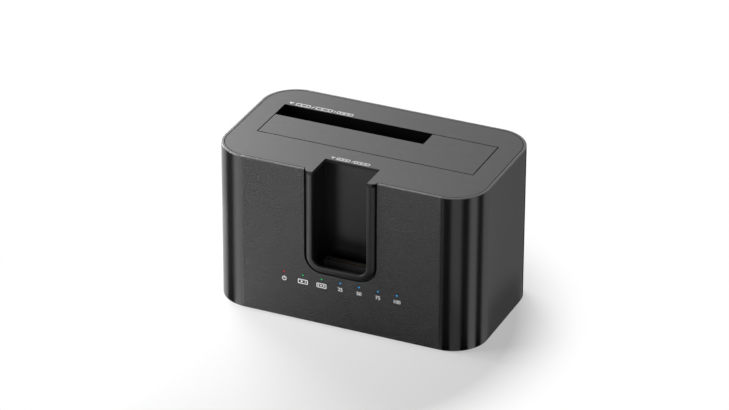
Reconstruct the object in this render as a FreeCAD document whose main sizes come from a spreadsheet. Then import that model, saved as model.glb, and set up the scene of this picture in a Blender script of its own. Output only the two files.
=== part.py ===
"""Dual-bay drive duplicator: a black upright docking station, open at the top for a
bare 2.5 or 3.5 inch drive and at the front for a memory card, with seven status lights.

Row frame, millimetres: X to the right, Y to the back, Z up.  The origin is the middle of
the whole part, seen from above, on the surface that the feet stand on.
"""
import FreeCAD, Part
import math
import os
import Sketcher
from types import SimpleNamespace

SIZES = [
    # the sleeve, the outer wall that runs all round
    ("sleeve_width", 127.0, "outside width, X"),
    ("sleeve_depth", 72.0, "outside depth, Y"),
    ("overall_height", 76.0, "from the surface to the top face"),
    ("corner_radius", 16.5, "outside radius of the upright corners"),
    ("shell_wall", 1.4, "sleeve wall"),
    ("top_round", 0.3, "round on the rim of the sleeve"),
    ("bottom_round", 0.4, "round on the foot of the sleeve"),
    ("ledge_width", 2.5, "how far the inner ledges reach in from the wall"),
    ("ledge_radius", 24.0, "corner radius of the ledges, wide enough to take a screw"),
    ("shelf_plate", 1.8, "thickness of the upper ledge, which carries the cover"),
    ("bottom_ledge", 5.0, "height of the lower ledge, which the base is screwed to"),
    ("ledge_merge", 0.4, "how far a ledge runs into the wall"),
    ("corner_inset", 8.5, "corner screws, from the outer faces"),
    # the cut in the front wall for the card pocket
    ("cut_width", 34.7, "width of the cut"),
    ("cut_bottom", 25.65, "height of the foot of the cut"),
    ("cut_radius", 8.6, "radius of its lower corners"),
    ("cut_round", 0.2, "round on the edge of the cut"),
    # base and feet
    ("foot_proud", 0.6, "feet below the base"),
    ("foot_radius", 4.5, "radius of a foot"),
    ("foot_height", 1.6, "thickness of a foot"),
    ("foot_round", 0.4, "round on the rim of a foot"),
    ("foot_inset_x", 16.5, "centre of a foot from the side"),
    ("foot_inset_y", 15.0, "centre of a foot from the front or back"),
    ("foot_clear", 0.1, "radial clearance of a foot in its recess"),
    ("base_plate", 2.0, "base thickness"),
    ("base_gap", 0.2, "clearance of the base in the sleeve"),
    ("lip_wall", 1.2, "locating lip on the base"),
    ("lip_height", 1.5, "height of that lip"),
    ("lip_gap", 0.3, "lip to ledge"),
    ("post_radius", 3.0, "board posts on the base"),
    ("post_height", 14.4, "height of the posts above the base plate"),
    ("post_inset_x", 9.5, "posts from the side"),
    ("post_inset_y", 22.0, "posts from the front or back"),
    # top cover
    ("cover_plate", 1.5, "cover thickness"),
    ("seam_gap", 0.25, "seam between the cover and the sleeve"),
    ("tab_gap", 0.15, "cover tab to the side of the cut"),
    ("tab_set", 0.3, "tabs behind the front of the bead"),
    ("tab_reach", 4.0, "how far back the tab blends into the cover"),
    ("tab_round", 0.3, "round on the upper edge of the tabs"),
    ("cover_boss", 3.0, "height of the corner bosses"),
    ("cover_boss_radius", 3.2, "radius of the corner bosses"),
    ("notch_width", 26.2, "width of the card notch"),
    ("notch_depth", 13.1, "depth of the card notch from the front face"),
    # drive bay
    ("bay_margin", 11.5, "ends of the drive opening from the sides"),
    ("bay_setback", 25.0, "front edge of the drive opening from the front face"),
    ("bay_rear_zone", 17.4, "back edge of the drive opening from the rear face"),
    ("slot_length", 72.5, "small drive slot, X"),
    ("slot_width", 11.05, "small drive slot, Y"),
    ("well_wall", 1.5, "wall of the drive well"),
    ("well_front_room", 3.5, "room in front of the opening for the open door"),
    ("under_well", 2.4, "well floor above the board"),
    ("rib_width", 1.2, "ribs on the well and the door"),
    ("rib_proud", 0.8, "how far the well ribs stand out"),
    ("rib_inset", 8.0, "outermost well ribs from the ends of the opening"),
    ("ear_plate", 1.5, "fixing ears of the well"),
    ("ear_width", 6.0, "ear width, Y"),
    ("ear_offset", 7.0, "ears from the middle of the well, Y"),
    ("ear_gap", 0.5, "ear to ledge"),
    ("ear_boss", 4.0, "cover bosses for the ears"),
    ("ear_boss_radius", 2.4, "radius of those bosses"),
    # door
    ("door_gap", 0.5, "gap round the door"),
    ("door_plate", 1.6, "door thickness"),
    ("door_rib", 1.6, "depth of the door ribs"),
    ("door_rib_inset", 6.5, "outermost door ribs from the ends of the door"),
    ("hinge_drop", 4.0, "hinge axis below the top face"),
    ("hinge_back", 1.0, "hinge axis in front of the opening"),
    ("knuckle_radius", 1.9, "outside of a knuckle"),
    ("knuckle_length", 7.0, "length of a knuckle"),
    ("knuckle_inset", 1.5, "end knuckles from the door's ends"),
    ("knuckle_web", 3.0, "web of a knuckle behind the axis"),
    ("pin_radius", 1.0, "hinge pin"),
    ("pin_fit", 0.03, "clearance of the pin in the well"),
    ("pin_run", 0.06, "clearance of the knuckles on the pin"),
    ("spring_wire", 0.4, "wire of the door spring"),
    ("spring_clear", 0.3, "coil to pin"),
    ("spring_gap", 1.0, "coil to the middle knuckle"),
    ("spring_tail", 1.2, "length of the tail"),
    ("spring_seat", 0.1, "leg to its pad"),
    ("spring_pad", 3.0, "width of that pad"),
    ("spring_pitch", 0.7, "coil pitch"),
    ("spring_turns", 4.0, "turns"),
    ("spring_leg", 6.0, "length of the leg on the door"),
    # card pocket
    ("pocket_wall", 1.5, "pocket walls"),
    ("pocket_floor", 1.3, "pocket floor"),
    ("pocket_lift", 6.4, "pocket floor above the board"),
    ("flange_lap", 1.0, "flange behind the wall beyond the cut"),
    ("flange_plate", 1.4, "flange thickness"),
    ("bead_gap", 0.7, "groove between the bead and the cut"),
    ("bead_proud", 1.5, "bead in front of the front face"),
    ("bead_lip", 1.6, "thickness of the bead where it crosses the mouth"),
    ("bead_outer_round", 2.6, "outer round of the bead and of the tabs above it"),
    ("bead_inner_round", 0.3, "inner round of the bead"),
    ("rail_gap", 0.2, "flange to rail"),
    ("rail_width", 1.2, "rails inside the front wall"),
    ("rail_depth", 2.4, "depth of the rails"),
    # board
    ("board_thickness", 1.6, "circuit board"),
    ("board_gap", 0.5, "board edge inside the lower ledge"),
    ("screw_radius", 1.25, "thread of every screw"),
    ("screw_fit", 0.05, "thread in its boss"),
    ("screw_pass", 0.25, "thread through a clearance hole"),
    ("head_radius", 2.3, "screw heads"),
    ("head_height", 1.5, "pan heads"),
    ("flat_head", 1.2, "flat heads of the base screws"),
    ("head_clear", 0.2, "head in its recess"),
    ("cross_length", 2.6, "cross recess in a head, end to end"),
    ("cross_width", 0.6, "width of the cross recess"),
    ("cross_depth", 0.8, "depth of the cross recess"),
    ("long_screw", 5.5, "thread length, cover and base"),
    ("short_screw", 4.6, "thread length, well"),
    ("board_screw", 6.0, "thread length, board"),
    ("pilot_extra", 0.15, "pilot hole beyond the thread"),
    # drive connector
    ("sata_offset", 9.5, "connector from the left end of the slot"),
    ("sata_length", 43.0, "connector, X"),
    ("sata_width", 6.0, "connector, Y"),
    ("sata_height", 8.8, "connector above the board"),
    ("sata_back", 4.0, "connector centre in front of the slot's back face"),
    ("sata_post", 4.0, "solid ends of the connector"),
    ("power_tongue", 20.6, "long tongue slot"),
    ("signal_tongue", 10.6, "short tongue slot"),
    ("tongue_slot", 2.4, "width of the tongue slots"),
    ("tongue_depth", 6.0, "depth of the tongue slots"),
    ("key_length", 1.4, "key at the end of a tongue"),
    ("key_depth", 1.5, "how far the key steps forward"),
    ("contact_pitch", 1.27, "drive contact pitch"),
    ("contact_width", 0.7, "drive contact, X"),
    ("contact_thick", 0.35, "drive contact, Y"),
    ("contact_height", 4.6, "drive contact, Z"),
    ("window_gap", 0.5, "connector in its window"),
    # card connector
    ("card_length", 22.6, "card connector, X"),
    ("card_width", 3.6, "card connector, Y"),
    ("card_height", 10.4, "card connector above the board"),
    ("card_setback", 9.2, "card connector centre from the front face"),
    ("card_slot_length", 20.6, "card slot, X"),
    ("card_slot_width", 1.5, "card slot, Y"),
    ("card_slot_depth", 5.0, "card slot, Z"),
    ("card_pitch", 1.0, "card contact pitch"),
    ("card_contact", 0.4, "card contact, X"),
    ("card_contact_thick", 0.25, "card contact, Y"),
    # lights
    ("light_height", 23.15, "light row above the surface"),
    ("light_pitch", 9.05, "light spacing"),
    ("light_radius", 0.6, "radius of a light pipe"),
    ("light_fit", 0.05, "light pipe in its hole"),
    ("light_setback", 6.0, "upright leg of a light pipe from the front face"),
    ("light_bend", 1.6, "bend of a light pipe"),
    ("collar_radius", 1.0, "collar behind the wall"),
    ("collar_plate", 0.8, "collar thickness"),
    ("led_length", 1.9, "light chip, X"),
    ("led_width", 1.2, "light chip, Y"),
    ("led_height", 0.8, "light chip, Z"),
    ("led_air", 0.3, "light chip to light pipe"),
    # rear ports and controls
    ("jack_inset", 26.5, "power inlet from the side"),
    ("jack_width", 9.0, "inlet body, X"),
    ("jack_height", 11.0, "inlet body, Z"),
    ("port_back_gap", 0.8, "inlet body to the ribs of the well"),
    ("jack_axis", 6.4, "inlet axis above the board"),
    ("jack_bore", 3.15, "inlet bore radius"),
    ("jack_end_wall", 3.0, "solid end of the inlet body"),
    ("jack_pin_radius", 1.0, "centre pin of the inlet"),
    ("jack_pin_set", 0.8, "pin tip inside the mouth"),
    ("jack_hole", 4.2, "hole in the sleeve for the plug"),
    ("port_gap", 0.3, "bodies to the inside of the rear wall"),
    ("usb_x", -17.0, "data port from the middle"),
    ("usb_width", 8.94, "port shell, X"),
    ("usb_height", 3.26, "port shell, Z"),
    ("usb_corner", 1.62, "radius of the shell's ends"),
    ("usb_wall", 0.3, "port shell metal"),
    ("usb_length", 8.6, "port shell, Y"),
    ("usb_recess", 0.6, "shell mouth inside the rear face"),
    ("usb_hole_gap", 0.25, "shell to its hole"),
    ("usb_tongue_width", 6.7, "port tongue, X"),
    ("usb_tongue_plate", 0.7, "port tongue, Z"),
    ("usb_tongue_set", 1.0, "tongue tip inside the mouth"),
    ("switch_x", 12.0, "power switch from the middle"),
    ("switch_width", 15.0, "switch body, X"),
    ("switch_height", 10.0, "switch body, Z"),
    ("switch_length", 9.4, "switch body, Y"),
    ("switch_room_x", 12.8, "rocker room, X"),
    ("switch_room_z", 7.0, "rocker room, Z"),
    ("switch_room_y", 7.2, "rocker room, Y"),
    ("switch_frame", 0.5, "part of the switch frame that shows"),
    ("rocker_half", 5.5, "half length of the rocker"),
    ("rocker_crest", 4.4, "rocker ends above its axle"),
    ("rocker_dip", 3.0, "rocker middle above its axle"),
    ("rocker_foot", 2.2, "rocker foot below its axle"),
    ("rocker_toe", 2.0, "half width of the rocker foot"),
    ("rocker_side", 0.2, "rocker to the side of its room"),
    ("rocker_tilt", 9.0, "degrees either way"),
    ("axle_radius", 1.0, "rocker axle"),
    ("axle_end", 0.6, "axle in the switch wall"),
    ("axle_run", 0.05, "axle clearance"),
    ("axle_depth", 4.2, "axle from the switch mouth"),
    ("button_inset", 30.5, "copy button from the side"),
    ("button_radius", 2.4, "copy button"),
    ("button_fit", 0.1, "copy button in its hole"),
    ("button_recess", 0.1, "button face inside the rear face"),
    ("button_flange", 3.3, "flange of the button"),
    ("button_flange_plate", 0.8, "flange thickness"),
    ("button_air", 0.03, "flange to the inside of the rear wall"),
    ("button_dish", 0.25, "dish in the button face"),
    ("button_switch", 6.0, "push switch, X"),
    ("button_switch_height", 6.4, "push switch, Z"),
    ("button_switch_length", 3.4, "push switch, Y"),
    ("button_stem", 1.7, "stem of the push switch"),
    ("button_stem_out", 1.2, "stem outside the push switch"),
    ("button_stem_in", 0.8, "stem inside the push switch"),
    ("button_room", 0.6, "room behind the stem"),
    # parts on the board
    ("bridge_chip", 10.0, "drive bridge chip, square"),
    ("bridge_inset", 39.0, "drive bridge from the right end of the board"),
    ("chip_height", 1.0, "chip thickness"),
    ("small_chip", 7.0, "card bridge chip, square"),
    ("small_chip_inset", 49.0, "card bridge from the left end of the board"),
    ("small_chip_y", -7.0, "card bridge from the middle, Y"),
    ("memory_length", 5.0, "memory chip, X"),
    ("memory_width", 4.0, "memory chip, Y"),
    ("memory_gap", 3.0, "memory chip in front of the drive bridge"),
    ("coil_size", 6.6, "inductor, square"),
    ("coil_height", 3.0, "inductor, Z"),
    ("coil_round", 1.2, "inductor corners"),
    ("coil_inset", 18.8, "outer inductor from the right end of the board"),
    ("coil_pitch", 9.9, "spacing of the inductors"),
    ("can_radius", 3.15, "capacitor can"),
    ("can_height", 5.8, "capacitor can, Z"),
    ("can_inset", 13.0, "outer can from the left end of the board"),
    ("can_pitch", 8.0, "spacing of the cans"),
    ("crystal_length", 3.2, "crystal, X"),
    ("crystal_width", 2.5, "crystal, Y"),
    ("crystal_height", 0.8, "crystal, Z"),
    ("crystal_gap", 2.0, "crystal beside its chip"),
    ("front_strip", 11.5, "row of tall parts from the front face"),
    ("reach", 2.0, "how far a cutting tool runs past a face"),
]


# counts
LIGHTS = 7
KNUCKLES = 3
WELL_RIBS = 5
DOOR_RIBS = 7
POWER_CONTACTS = 15
SIGNAL_CONTACTS = 7
CARD_CONTACTS = 19
CANS = 3
COILS = 2


class Size:
    """A length that keeps the sheet expression it comes from beside its value."""

    def __init__(self, value, text):
        self.value = float(value)
        self.text = text

    def combined(self, other, sign, swap=False):
        first, second = self, other
        if not isinstance(other, Size):
            second = Size(other, repr(float(other)))
        if swap:
            first, second = second, first
        results = {
            "+": lambda: first.value + second.value,
            "-": lambda: first.value - second.value,
            "*": lambda: first.value * second.value,
            "/": lambda: first.value / second.value,
        }
        return Size(results[sign](), "(%s %s %s)" % (first.text, sign, second.text))

    def __add__(self, other):
        return self.combined(other, "+")

    def __radd__(self, other):
        return self.combined(other, "+", True)

    def __sub__(self, other):
        return self.combined(other, "-")

    def __rsub__(self, other):
        return self.combined(other, "-", True)

    def __mul__(self, other):
        return self.combined(other, "*")

    def __rmul__(self, other):
        return self.combined(other, "*", True)

    def __truediv__(self, other):
        return self.combined(other, "/")

    def __neg__(self):
        return self.combined(-1, "*")


doc = FreeCAD.newDocument("drive_duplicator")
sheet = doc.addObject("Spreadsheet::Sheet", "Sizes")
named = {}
for row, (alias, number, note) in enumerate(SIZES, start=1):
    sheet.set("A%d" % row, alias)
    sheet.set("B%d" % row, str(number))
    sheet.set("C%d" % row, note)
    sheet.setAlias("B%d" % row, alias)
    named[alias] = Size(number, "Sizes." + alias)
doc.recompute()
mm = SimpleNamespace(**named)
ZERO = Size(0, "0")
TOUCH = 0.01  # how near an edge has to be to count as lying there, mm
PARTS = []

# ---------------------------------------------------------------- levels and faces
plan_middle = mm.bead_proud / 2
front = plan_middle - mm.sleeve_depth / 2
back = plan_middle + mm.sleeve_depth / 2
bead_front = front - mm.bead_proud
front_inside = front + mm.shell_wall
back_inside = back - mm.shell_wall
inner_width = mm.sleeve_width - 2 * mm.shell_wall
inner_depth = mm.sleeve_depth - 2 * mm.shell_wall
inner_radius = mm.corner_radius - mm.shell_wall
ledge_inner_width = inner_width - 2 * mm.ledge_width
ledge_inner_depth = inner_depth - 2 * mm.ledge_width
screw_x = mm.sleeve_width / 2 - mm.corner_inset
screw_y = mm.sleeve_depth / 2 - mm.corner_inset
foot_x = mm.sleeve_width / 2 - mm.foot_inset_x
foot_y = mm.sleeve_depth / 2 - mm.foot_inset_y
post_x = mm.sleeve_width / 2 - mm.post_inset_x
post_y = mm.sleeve_depth / 2 - mm.post_inset_y

base_top = mm.foot_proud + mm.base_plate
board_under = base_top + mm.post_height
board_top = board_under + mm.board_thickness
top_face = mm.overall_height
cover_under = top_face - mm.cover_plate
shelf_top = cover_under - mm.cover_boss
shelf_under = shelf_top - mm.shelf_plate
well_under = board_top + mm.under_well
well_floor = well_under + mm.well_wall
ear_top = cover_under - mm.ear_boss
ear_under = ear_top - mm.ear_plate
pocket_under = board_top + mm.pocket_lift
pocket_base = pocket_under + mm.pocket_floor

bay_length = mm.sleeve_width - 2 * mm.bay_margin
bay_left = -bay_length / 2
bay_right = bay_length / 2
bay_front = front + mm.bay_setback
bay_back = back - mm.bay_rear_zone
slot_right = bay_left + mm.slot_length
slot_front = bay_back - mm.slot_width
well_front = bay_front - mm.well_front_room
hinge_y = bay_front - mm.hinge_back
hinge_z = top_face - mm.hinge_drop
coil_radius = mm.pin_radius + mm.spring_clear + mm.spring_wire / 2
spring_start = mm.knuckle_length / 2 + mm.spring_gap
spring_end = spring_start + mm.spring_pitch * mm.spring_turns
ear_x = ledge_inner_width / 2 - mm.ear_gap
ear_screw_x = (bay_right + mm.well_wall + ear_x) / 2
ear_middle = (well_front + bay_back) / 2

notch_back = front + mm.notch_depth
pocket_half = mm.notch_width / 2
flange_half = mm.cut_width / 2 + mm.flange_lap
flange_back = front_inside + mm.flange_plate
bead_half = mm.cut_width / 2 - mm.bead_gap
bead_foot = mm.cut_bottom + mm.bead_gap
bead_radius = mm.cut_radius - mm.bead_gap
bead_width = bead_half - pocket_half

card_y = front + mm.card_setback
sata_left = bay_left + mm.sata_offset
sata_y = bay_back - mm.sata_back
light_y = front + mm.light_setback
light_span = (LIGHTS - 1) * mm.light_pitch
jack_x = mm.jack_inset - mm.sleeve_width / 2
jack_z = board_top + mm.jack_axis
usb_z = board_top + mm.usb_height / 2
switch_z = board_top + mm.switch_height / 2
button_x = mm.sleeve_width / 2 - mm.button_inset
button_z = board_top + mm.button_switch_height / 2
port_face = back_inside - mm.port_gap
jack_length = port_face - (bay_back + mm.well_wall + mm.rib_proud + mm.port_back_gap)
jack_bore_depth = jack_length - mm.jack_end_wall
pivot_y = port_face - mm.axle_depth
thread_hole = mm.screw_radius + mm.screw_fit
pass_hole = mm.screw_radius + mm.screw_pass
corners = [(-1, -1), (1, -1), (1, 1), (-1, 1)]


# ---------------------------------------------------------------- drawing helpers
def bind(target, path, size):
    """Ties a property to the sheet."""
    target.setExpression(path, size.text)


def new_body(label, group=False):
    """One sub-part; a group of identical loose solids is allowed where asked for."""
    body = doc.addObject("PartDesign::Body", label)
    body.Label = label
    body.AllowCompound = group
    PARTS.append(body)
    return body


def sketch_on(body, plane, level):
    """A sketch on an origin plane moved to a level: Z on XY, Y on XZ and X on YZ."""
    sketch = body.newObject("Sketcher::SketchObject", body.Label + "_sketch")
    roles = {"XY": "XY_Plane", "XZ": "XZ_Plane", "YZ": "YZ_Plane"}
    base = [f for f in body.Origin.OriginFeatures if f.Role == roles[plane]][0]
    sketch.AttachmentSupport = (base, [""])
    sketch.MapMode = "FlatFace"
    bind(sketch, ".AttachmentOffset.Base.z", -level if plane == "XZ" else level)
    return sketch


def fix(sketch, kind, size, *where):
    """A dimension whose value comes from the sheet."""
    index = sketch.addConstraint(Sketcher.Constraint(kind, *where, size.value))
    bind(sketch, "Constraints[%d]" % index, size)


def point(x, y):
    return FreeCAD.Vector(x.value, y.value, 0)


def outline(sketch, corners_xy):
    """A closed outline of straight lines through the given corners."""
    count = len(corners_xy)
    lines = []
    for index in range(count):
        start, end = corners_xy[index], corners_xy[(index + 1) % count]
        lines.append(sketch.addGeometry(Part.LineSegment(point(*start), point(*end))))
    for index in range(count):
        following = lines[(index + 1) % count]
        sketch.addConstraint(Sketcher.Constraint("Coincident", lines[index], 2, following, 1))
    for line, (x, y) in zip(lines, corners_xy):
        fix(sketch, "DistanceX", x, -1, 1, line, 1)
        fix(sketch, "DistanceY", y, -1, 1, line, 1)


def rectangle(sketch, left, low, right, high):
    outline(sketch, [(left, low), (right, low), (right, high), (left, high)])


def circle(sketch, x, y, radius):
    ring = sketch.addGeometry(Part.Circle(point(x, y), FreeCAD.Vector(0, 0, 1), radius.value))
    fix(sketch, "DistanceX", x, -1, 1, ring, 3)
    fix(sketch, "DistanceY", y, -1, 1, ring, 3)
    fix(sketch, "Radius", radius, ring)


def four_circles(sketch, x, y, radius, middle=plan_middle):
    """A circle at each corner of a rectangle centred on X 0 and Y middle."""
    for side, end in corners:
        circle(sketch, side * x, middle + end * y, radius)


def arc(sketch, x, y, radius, from_degrees):
    """A quarter circle, anticlockwise from the given angle."""
    whole = Part.Circle(point(x, y), FreeCAD.Vector(0, 0, 1), radius.value)
    turn = math.radians(from_degrees)
    return sketch.addGeometry(Part.ArcOfCircle(whole, turn, turn + math.pi / 2))


def rounded(sketch, left, low, right, high, radius, open_top=False):
    """A rectangle with round corners; with open_top only the lower two are round."""
    r = radius
    bend_bl = arc(sketch, left + r, low + r, r, 180)
    bottom = sketch.addGeometry(Part.LineSegment(point(left + r, low), point(right - r, low)))
    bend_br = arc(sketch, right - r, low + r, r, 270)
    loop = [bend_bl, bottom, bend_br]
    if open_top:
        side = sketch.addGeometry(Part.LineSegment(point(right, low + r), point(right, high)))
        top = sketch.addGeometry(Part.LineSegment(point(right, high), point(left, high)))
        other = sketch.addGeometry(Part.LineSegment(point(left, high), point(left, low + r)))
        loop += [side, top, other]
    else:
        side = sketch.addGeometry(Part.LineSegment(point(right, low + r), point(right, high - r)))
        bend_tr = arc(sketch, right - r, high - r, r, 0)
        top = sketch.addGeometry(Part.LineSegment(point(right - r, high), point(left + r, high)))
        bend_tl = arc(sketch, left + r, high - r, r, 90)
        other = sketch.addGeometry(Part.LineSegment(point(left, high - r), point(left, low + r)))
        loop += [side, bend_tr, top, bend_tl, other]
    bends = [bend_bl, bend_br] if open_top else [bend_bl, bend_br, bend_tr, bend_tl]
    for index, piece in enumerate(loop):
        following = loop[(index + 1) % len(loop)]
        smooth = "Tangent" if piece in bends or following in bends else "Coincident"
        sketch.addConstraint(Sketcher.Constraint(smooth, piece, 2, following, 1))
    for line in (bottom, top):
        sketch.addConstraint(Sketcher.Constraint("Horizontal", line))
    for line in (side, other):
        sketch.addConstraint(Sketcher.Constraint("Vertical", line))
    for bend in bends[1:]:
        sketch.addConstraint(Sketcher.Constraint("Equal", bends[0], bend))
    fix(sketch, "Radius", r, bends[0])
    fix(sketch, "DistanceX", left, -1, 1, other, 1)
    fix(sketch, "DistanceX", right, -1, 1, side, 1)
    fix(sketch, "DistanceY", low, -1, 1, bottom, 1)
    fix(sketch, "DistanceY", high, -1, 1, top, 1)


def centred(sketch, width, depth, radius):
    rounded(sketch, -width / 2, plan_middle - depth / 2, width / 2, plan_middle + depth / 2, radius)


def grow(body, sketch, length):
    """Adds material from the sketch along its normal: up, to the front or to the right."""
    pad = body.newObject("PartDesign::Pad", body.Label + "_pad")
    pad.Profile = sketch
    bind(pad, "Length", length)
    sketch.Visibility = False
    return pad


def cut(body, sketch, length):
    """Takes material away in the same direction as grow."""
    pocket = body.newObject("PartDesign::Pocket", body.Label + "_pocket")
    pocket.Profile = sketch
    pocket.Reversed = True
    bind(pocket, "Length", length)
    return pocket


def row_of(body, feature, sketch, axis, length, count):
    """Repeats a feature in a straight row."""
    pattern = body.newObject("PartDesign::LinearPattern", body.Label + "_row")
    pattern.Originals = [feature]
    pattern.Direction = (sketch, [axis])
    bind(pattern, "Length", length)
    pattern.Occurrences = count
    body.Tip = pattern
    return pattern


def round_edges(body, radius, wanted):
    """Rounds the edges of the body so far for which wanted(edge) is true."""
    doc.recompute()
    base = body.Tip
    names = ["Edge%d" % (i + 1) for i, edge in enumerate(base.Shape.Edges) if wanted(edge)]
    fillet = body.newObject("PartDesign::Fillet", body.Label + "_round")
    fillet.Base = (base, names)
    bind(fillet, "Radius", radius)
    return fillet


def lies_at(edge, axis, level):
    """True where the whole edge lies in the plane axis = level."""
    box = edge.BoundBox
    low, high = {"x": (box.XMin, box.XMax), "y": (box.YMin, box.YMax), "z": (box.ZMin, box.ZMax)}[axis]
    return abs(low - level) < TOUCH and abs(high - level) < TOUCH


# ---------------------------------------------------------------- casing
def outer_sleeve():
    """A tube of rounded rectangular plan with an inner ledge at each end, the cut for
    the card pocket in front, the row of light holes under it and the ports behind."""
    body = new_body("outer_sleeve")
    wall = sketch_on(body, "XY", mm.foot_proud)
    centred(wall, mm.sleeve_width, mm.sleeve_depth, mm.corner_radius)
    centred(wall, inner_width, inner_depth, inner_radius)
    grow(body, wall, top_face - mm.foot_proud)

    half_width, half_depth = mm.sleeve_width.value / 2, mm.sleeve_depth.value / 2
    arc_x = half_width - mm.corner_radius.value
    arc_y = half_depth - mm.corner_radius.value

    def outside(edge):
        spot = edge.valueAt((edge.FirstParameter + edge.LastParameter) / 2)
        from_middle = abs(spot.y - plan_middle.value)
        over = FreeCAD.Vector(max(abs(spot.x) - arc_x, 0), max(from_middle - arc_y, 0), 0)
        return abs(over.Length - mm.corner_radius.value) < mm.shell_wall.value / 2

    round_edges(body, mm.top_round, lambda e: lies_at(e, "z", top_face.value) and outside(e))
    round_edges(body, mm.bottom_round, lambda e: lies_at(e, "z", mm.foot_proud.value) and outside(e))

    merge = 2 * mm.ledge_merge
    for level, height in ((shelf_under, mm.shelf_plate), (base_top, mm.bottom_ledge)):
        ledge = sketch_on(body, "XY", level)
        centred(ledge, inner_width + merge, inner_depth + merge, inner_radius + mm.ledge_merge)
        centred(ledge, ledge_inner_width, ledge_inner_depth, mm.ledge_radius)
        grow(body, ledge, height)
        holes = sketch_on(body, "XY", level)
        four_circles(holes, screw_x, screw_y, pass_hole if level is shelf_under else thread_hole)
        cut(body, holes, height)

    rail_near = flange_half + mm.rail_gap
    for side in (-1, 1):
        rail = sketch_on(body, "XY", pocket_under)
        ends = sorted((side * rail_near, side * (rail_near + mm.rail_width)), key=lambda s: s.value)
        rectangle(rail, ends[0], front_inside - mm.ledge_merge, ends[1], front_inside + mm.rail_depth)
        grow(body, rail, shelf_under - pocket_under)

    gap = sketch_on(body, "XY", shelf_under)
    rectangle(gap, -rail_near, front_inside, rail_near, front_inside + mm.ledge_width + mm.reach)
    cut(body, gap, top_face - shelf_under)

    front_cut = sketch_on(body, "XZ", front_inside)
    rounded(front_cut, -mm.cut_width / 2, mm.cut_bottom, mm.cut_width / 2, top_face + mm.reach,
            mm.cut_radius, open_top=True)
    cut(body, front_cut, mm.shell_wall + mm.reach)

    lights = sketch_on(body, "XZ", front_inside)
    circle(lights, -light_span / 2, mm.light_height, mm.light_radius + mm.light_fit)
    hole = cut(body, lights, mm.shell_wall + mm.reach)
    row_of(body, hole, lights, "H_Axis", light_span, LIGHTS)

    ports = sketch_on(body, "XZ", back + mm.reach)
    circle(ports, jack_x, jack_z, mm.jack_hole)
    circle(ports, button_x, button_z, mm.button_radius + mm.button_fit)
    usb_x, usb_z_half = mm.usb_width / 2 + mm.usb_hole_gap, mm.usb_height / 2 + mm.usb_hole_gap
    rounded(ports, mm.usb_x - usb_x, usb_z - usb_z_half, mm.usb_x + usb_x, usb_z + usb_z_half,
            mm.usb_corner + mm.usb_hole_gap)
    frame_x = mm.switch_room_x / 2 + mm.switch_frame
    frame_z = mm.switch_room_z / 2 + mm.switch_frame
    rounded(ports, mm.switch_x - frame_x, switch_z - frame_z, mm.switch_x + frame_x,
            switch_z + frame_z, mm.switch_frame)
    cut(body, ports, mm.shell_wall + 2 * mm.reach)

    def cut_edge(edge):
        box = edge.BoundBox
        inside = max(abs(box.XMin), abs(box.XMax)) < mm.cut_width.value / 2 + TOUCH
        return lies_at(edge, "y", front.value) and inside and box.ZMax > mm.cut_bottom.value - TOUCH

    round_edges(body, mm.cut_round, cut_edge)
    return body


def top_cover():
    """The flush lid: bay opening, card notch with a tab on either side, corner bosses on
    the upper ledge and four more that the drive well hangs from."""
    body = new_body("top_cover")
    plate = sketch_on(body, "XY", cover_under)
    slack = 2 * mm.seam_gap
    centred(plate, inner_width - slack, inner_depth - slack, inner_radius - mm.seam_gap)
    grow(body, plate, mm.cover_plate)
    tab = sketch_on(body, "XY", cover_under)
    tab_half = mm.cut_width / 2 - mm.tab_gap
    tab_front = bead_front + mm.tab_set
    rectangle(tab, -tab_half, tab_front, tab_half, front_inside + mm.tab_reach)
    grow(body, tab, mm.cover_plate)
    round_edges(body, mm.bead_outer_round,
                lambda e: lies_at(e, "y", tab_front.value) and e.BoundBox.XLength < TOUCH)
    tab_flank = (tab_front + mm.bead_outer_round).value + TOUCH
    round_edges(body, mm.tab_round, lambda e: lies_at(e, "z", top_face.value) and e.BoundBox.YMax < tab_flank)

    bosses = sketch_on(body, "XY", shelf_top)
    four_circles(bosses, screw_x, screw_y, mm.cover_boss_radius)
    grow(body, bosses, mm.cover_boss)
    ear_bosses = sketch_on(body, "XY", ear_top)
    four_circles(ear_bosses, ear_screw_x, mm.ear_offset, mm.ear_boss_radius, ear_middle)
    grow(body, ear_bosses, mm.ear_boss)

    opening = sketch_on(body, "XY", cover_under)
    rectangle(opening, bay_left, bay_front, bay_right, bay_back)
    rectangle(opening, -pocket_half, tab_front - mm.reach, pocket_half, notch_back)
    cut(body, opening, mm.cover_plate + mm.reach)
    pilots = sketch_on(body, "XY", shelf_under)
    four_circles(pilots, screw_x, screw_y, thread_hole)
    cut(body, pilots, mm.long_screw + mm.pilot_extra)
    ear_pilots = sketch_on(body, "XY", ear_under)
    four_circles(ear_pilots, ear_screw_x, mm.ear_offset, thread_hole, ear_middle)
    cut(body, ear_pilots, mm.short_screw + mm.pilot_extra)
    return body


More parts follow.
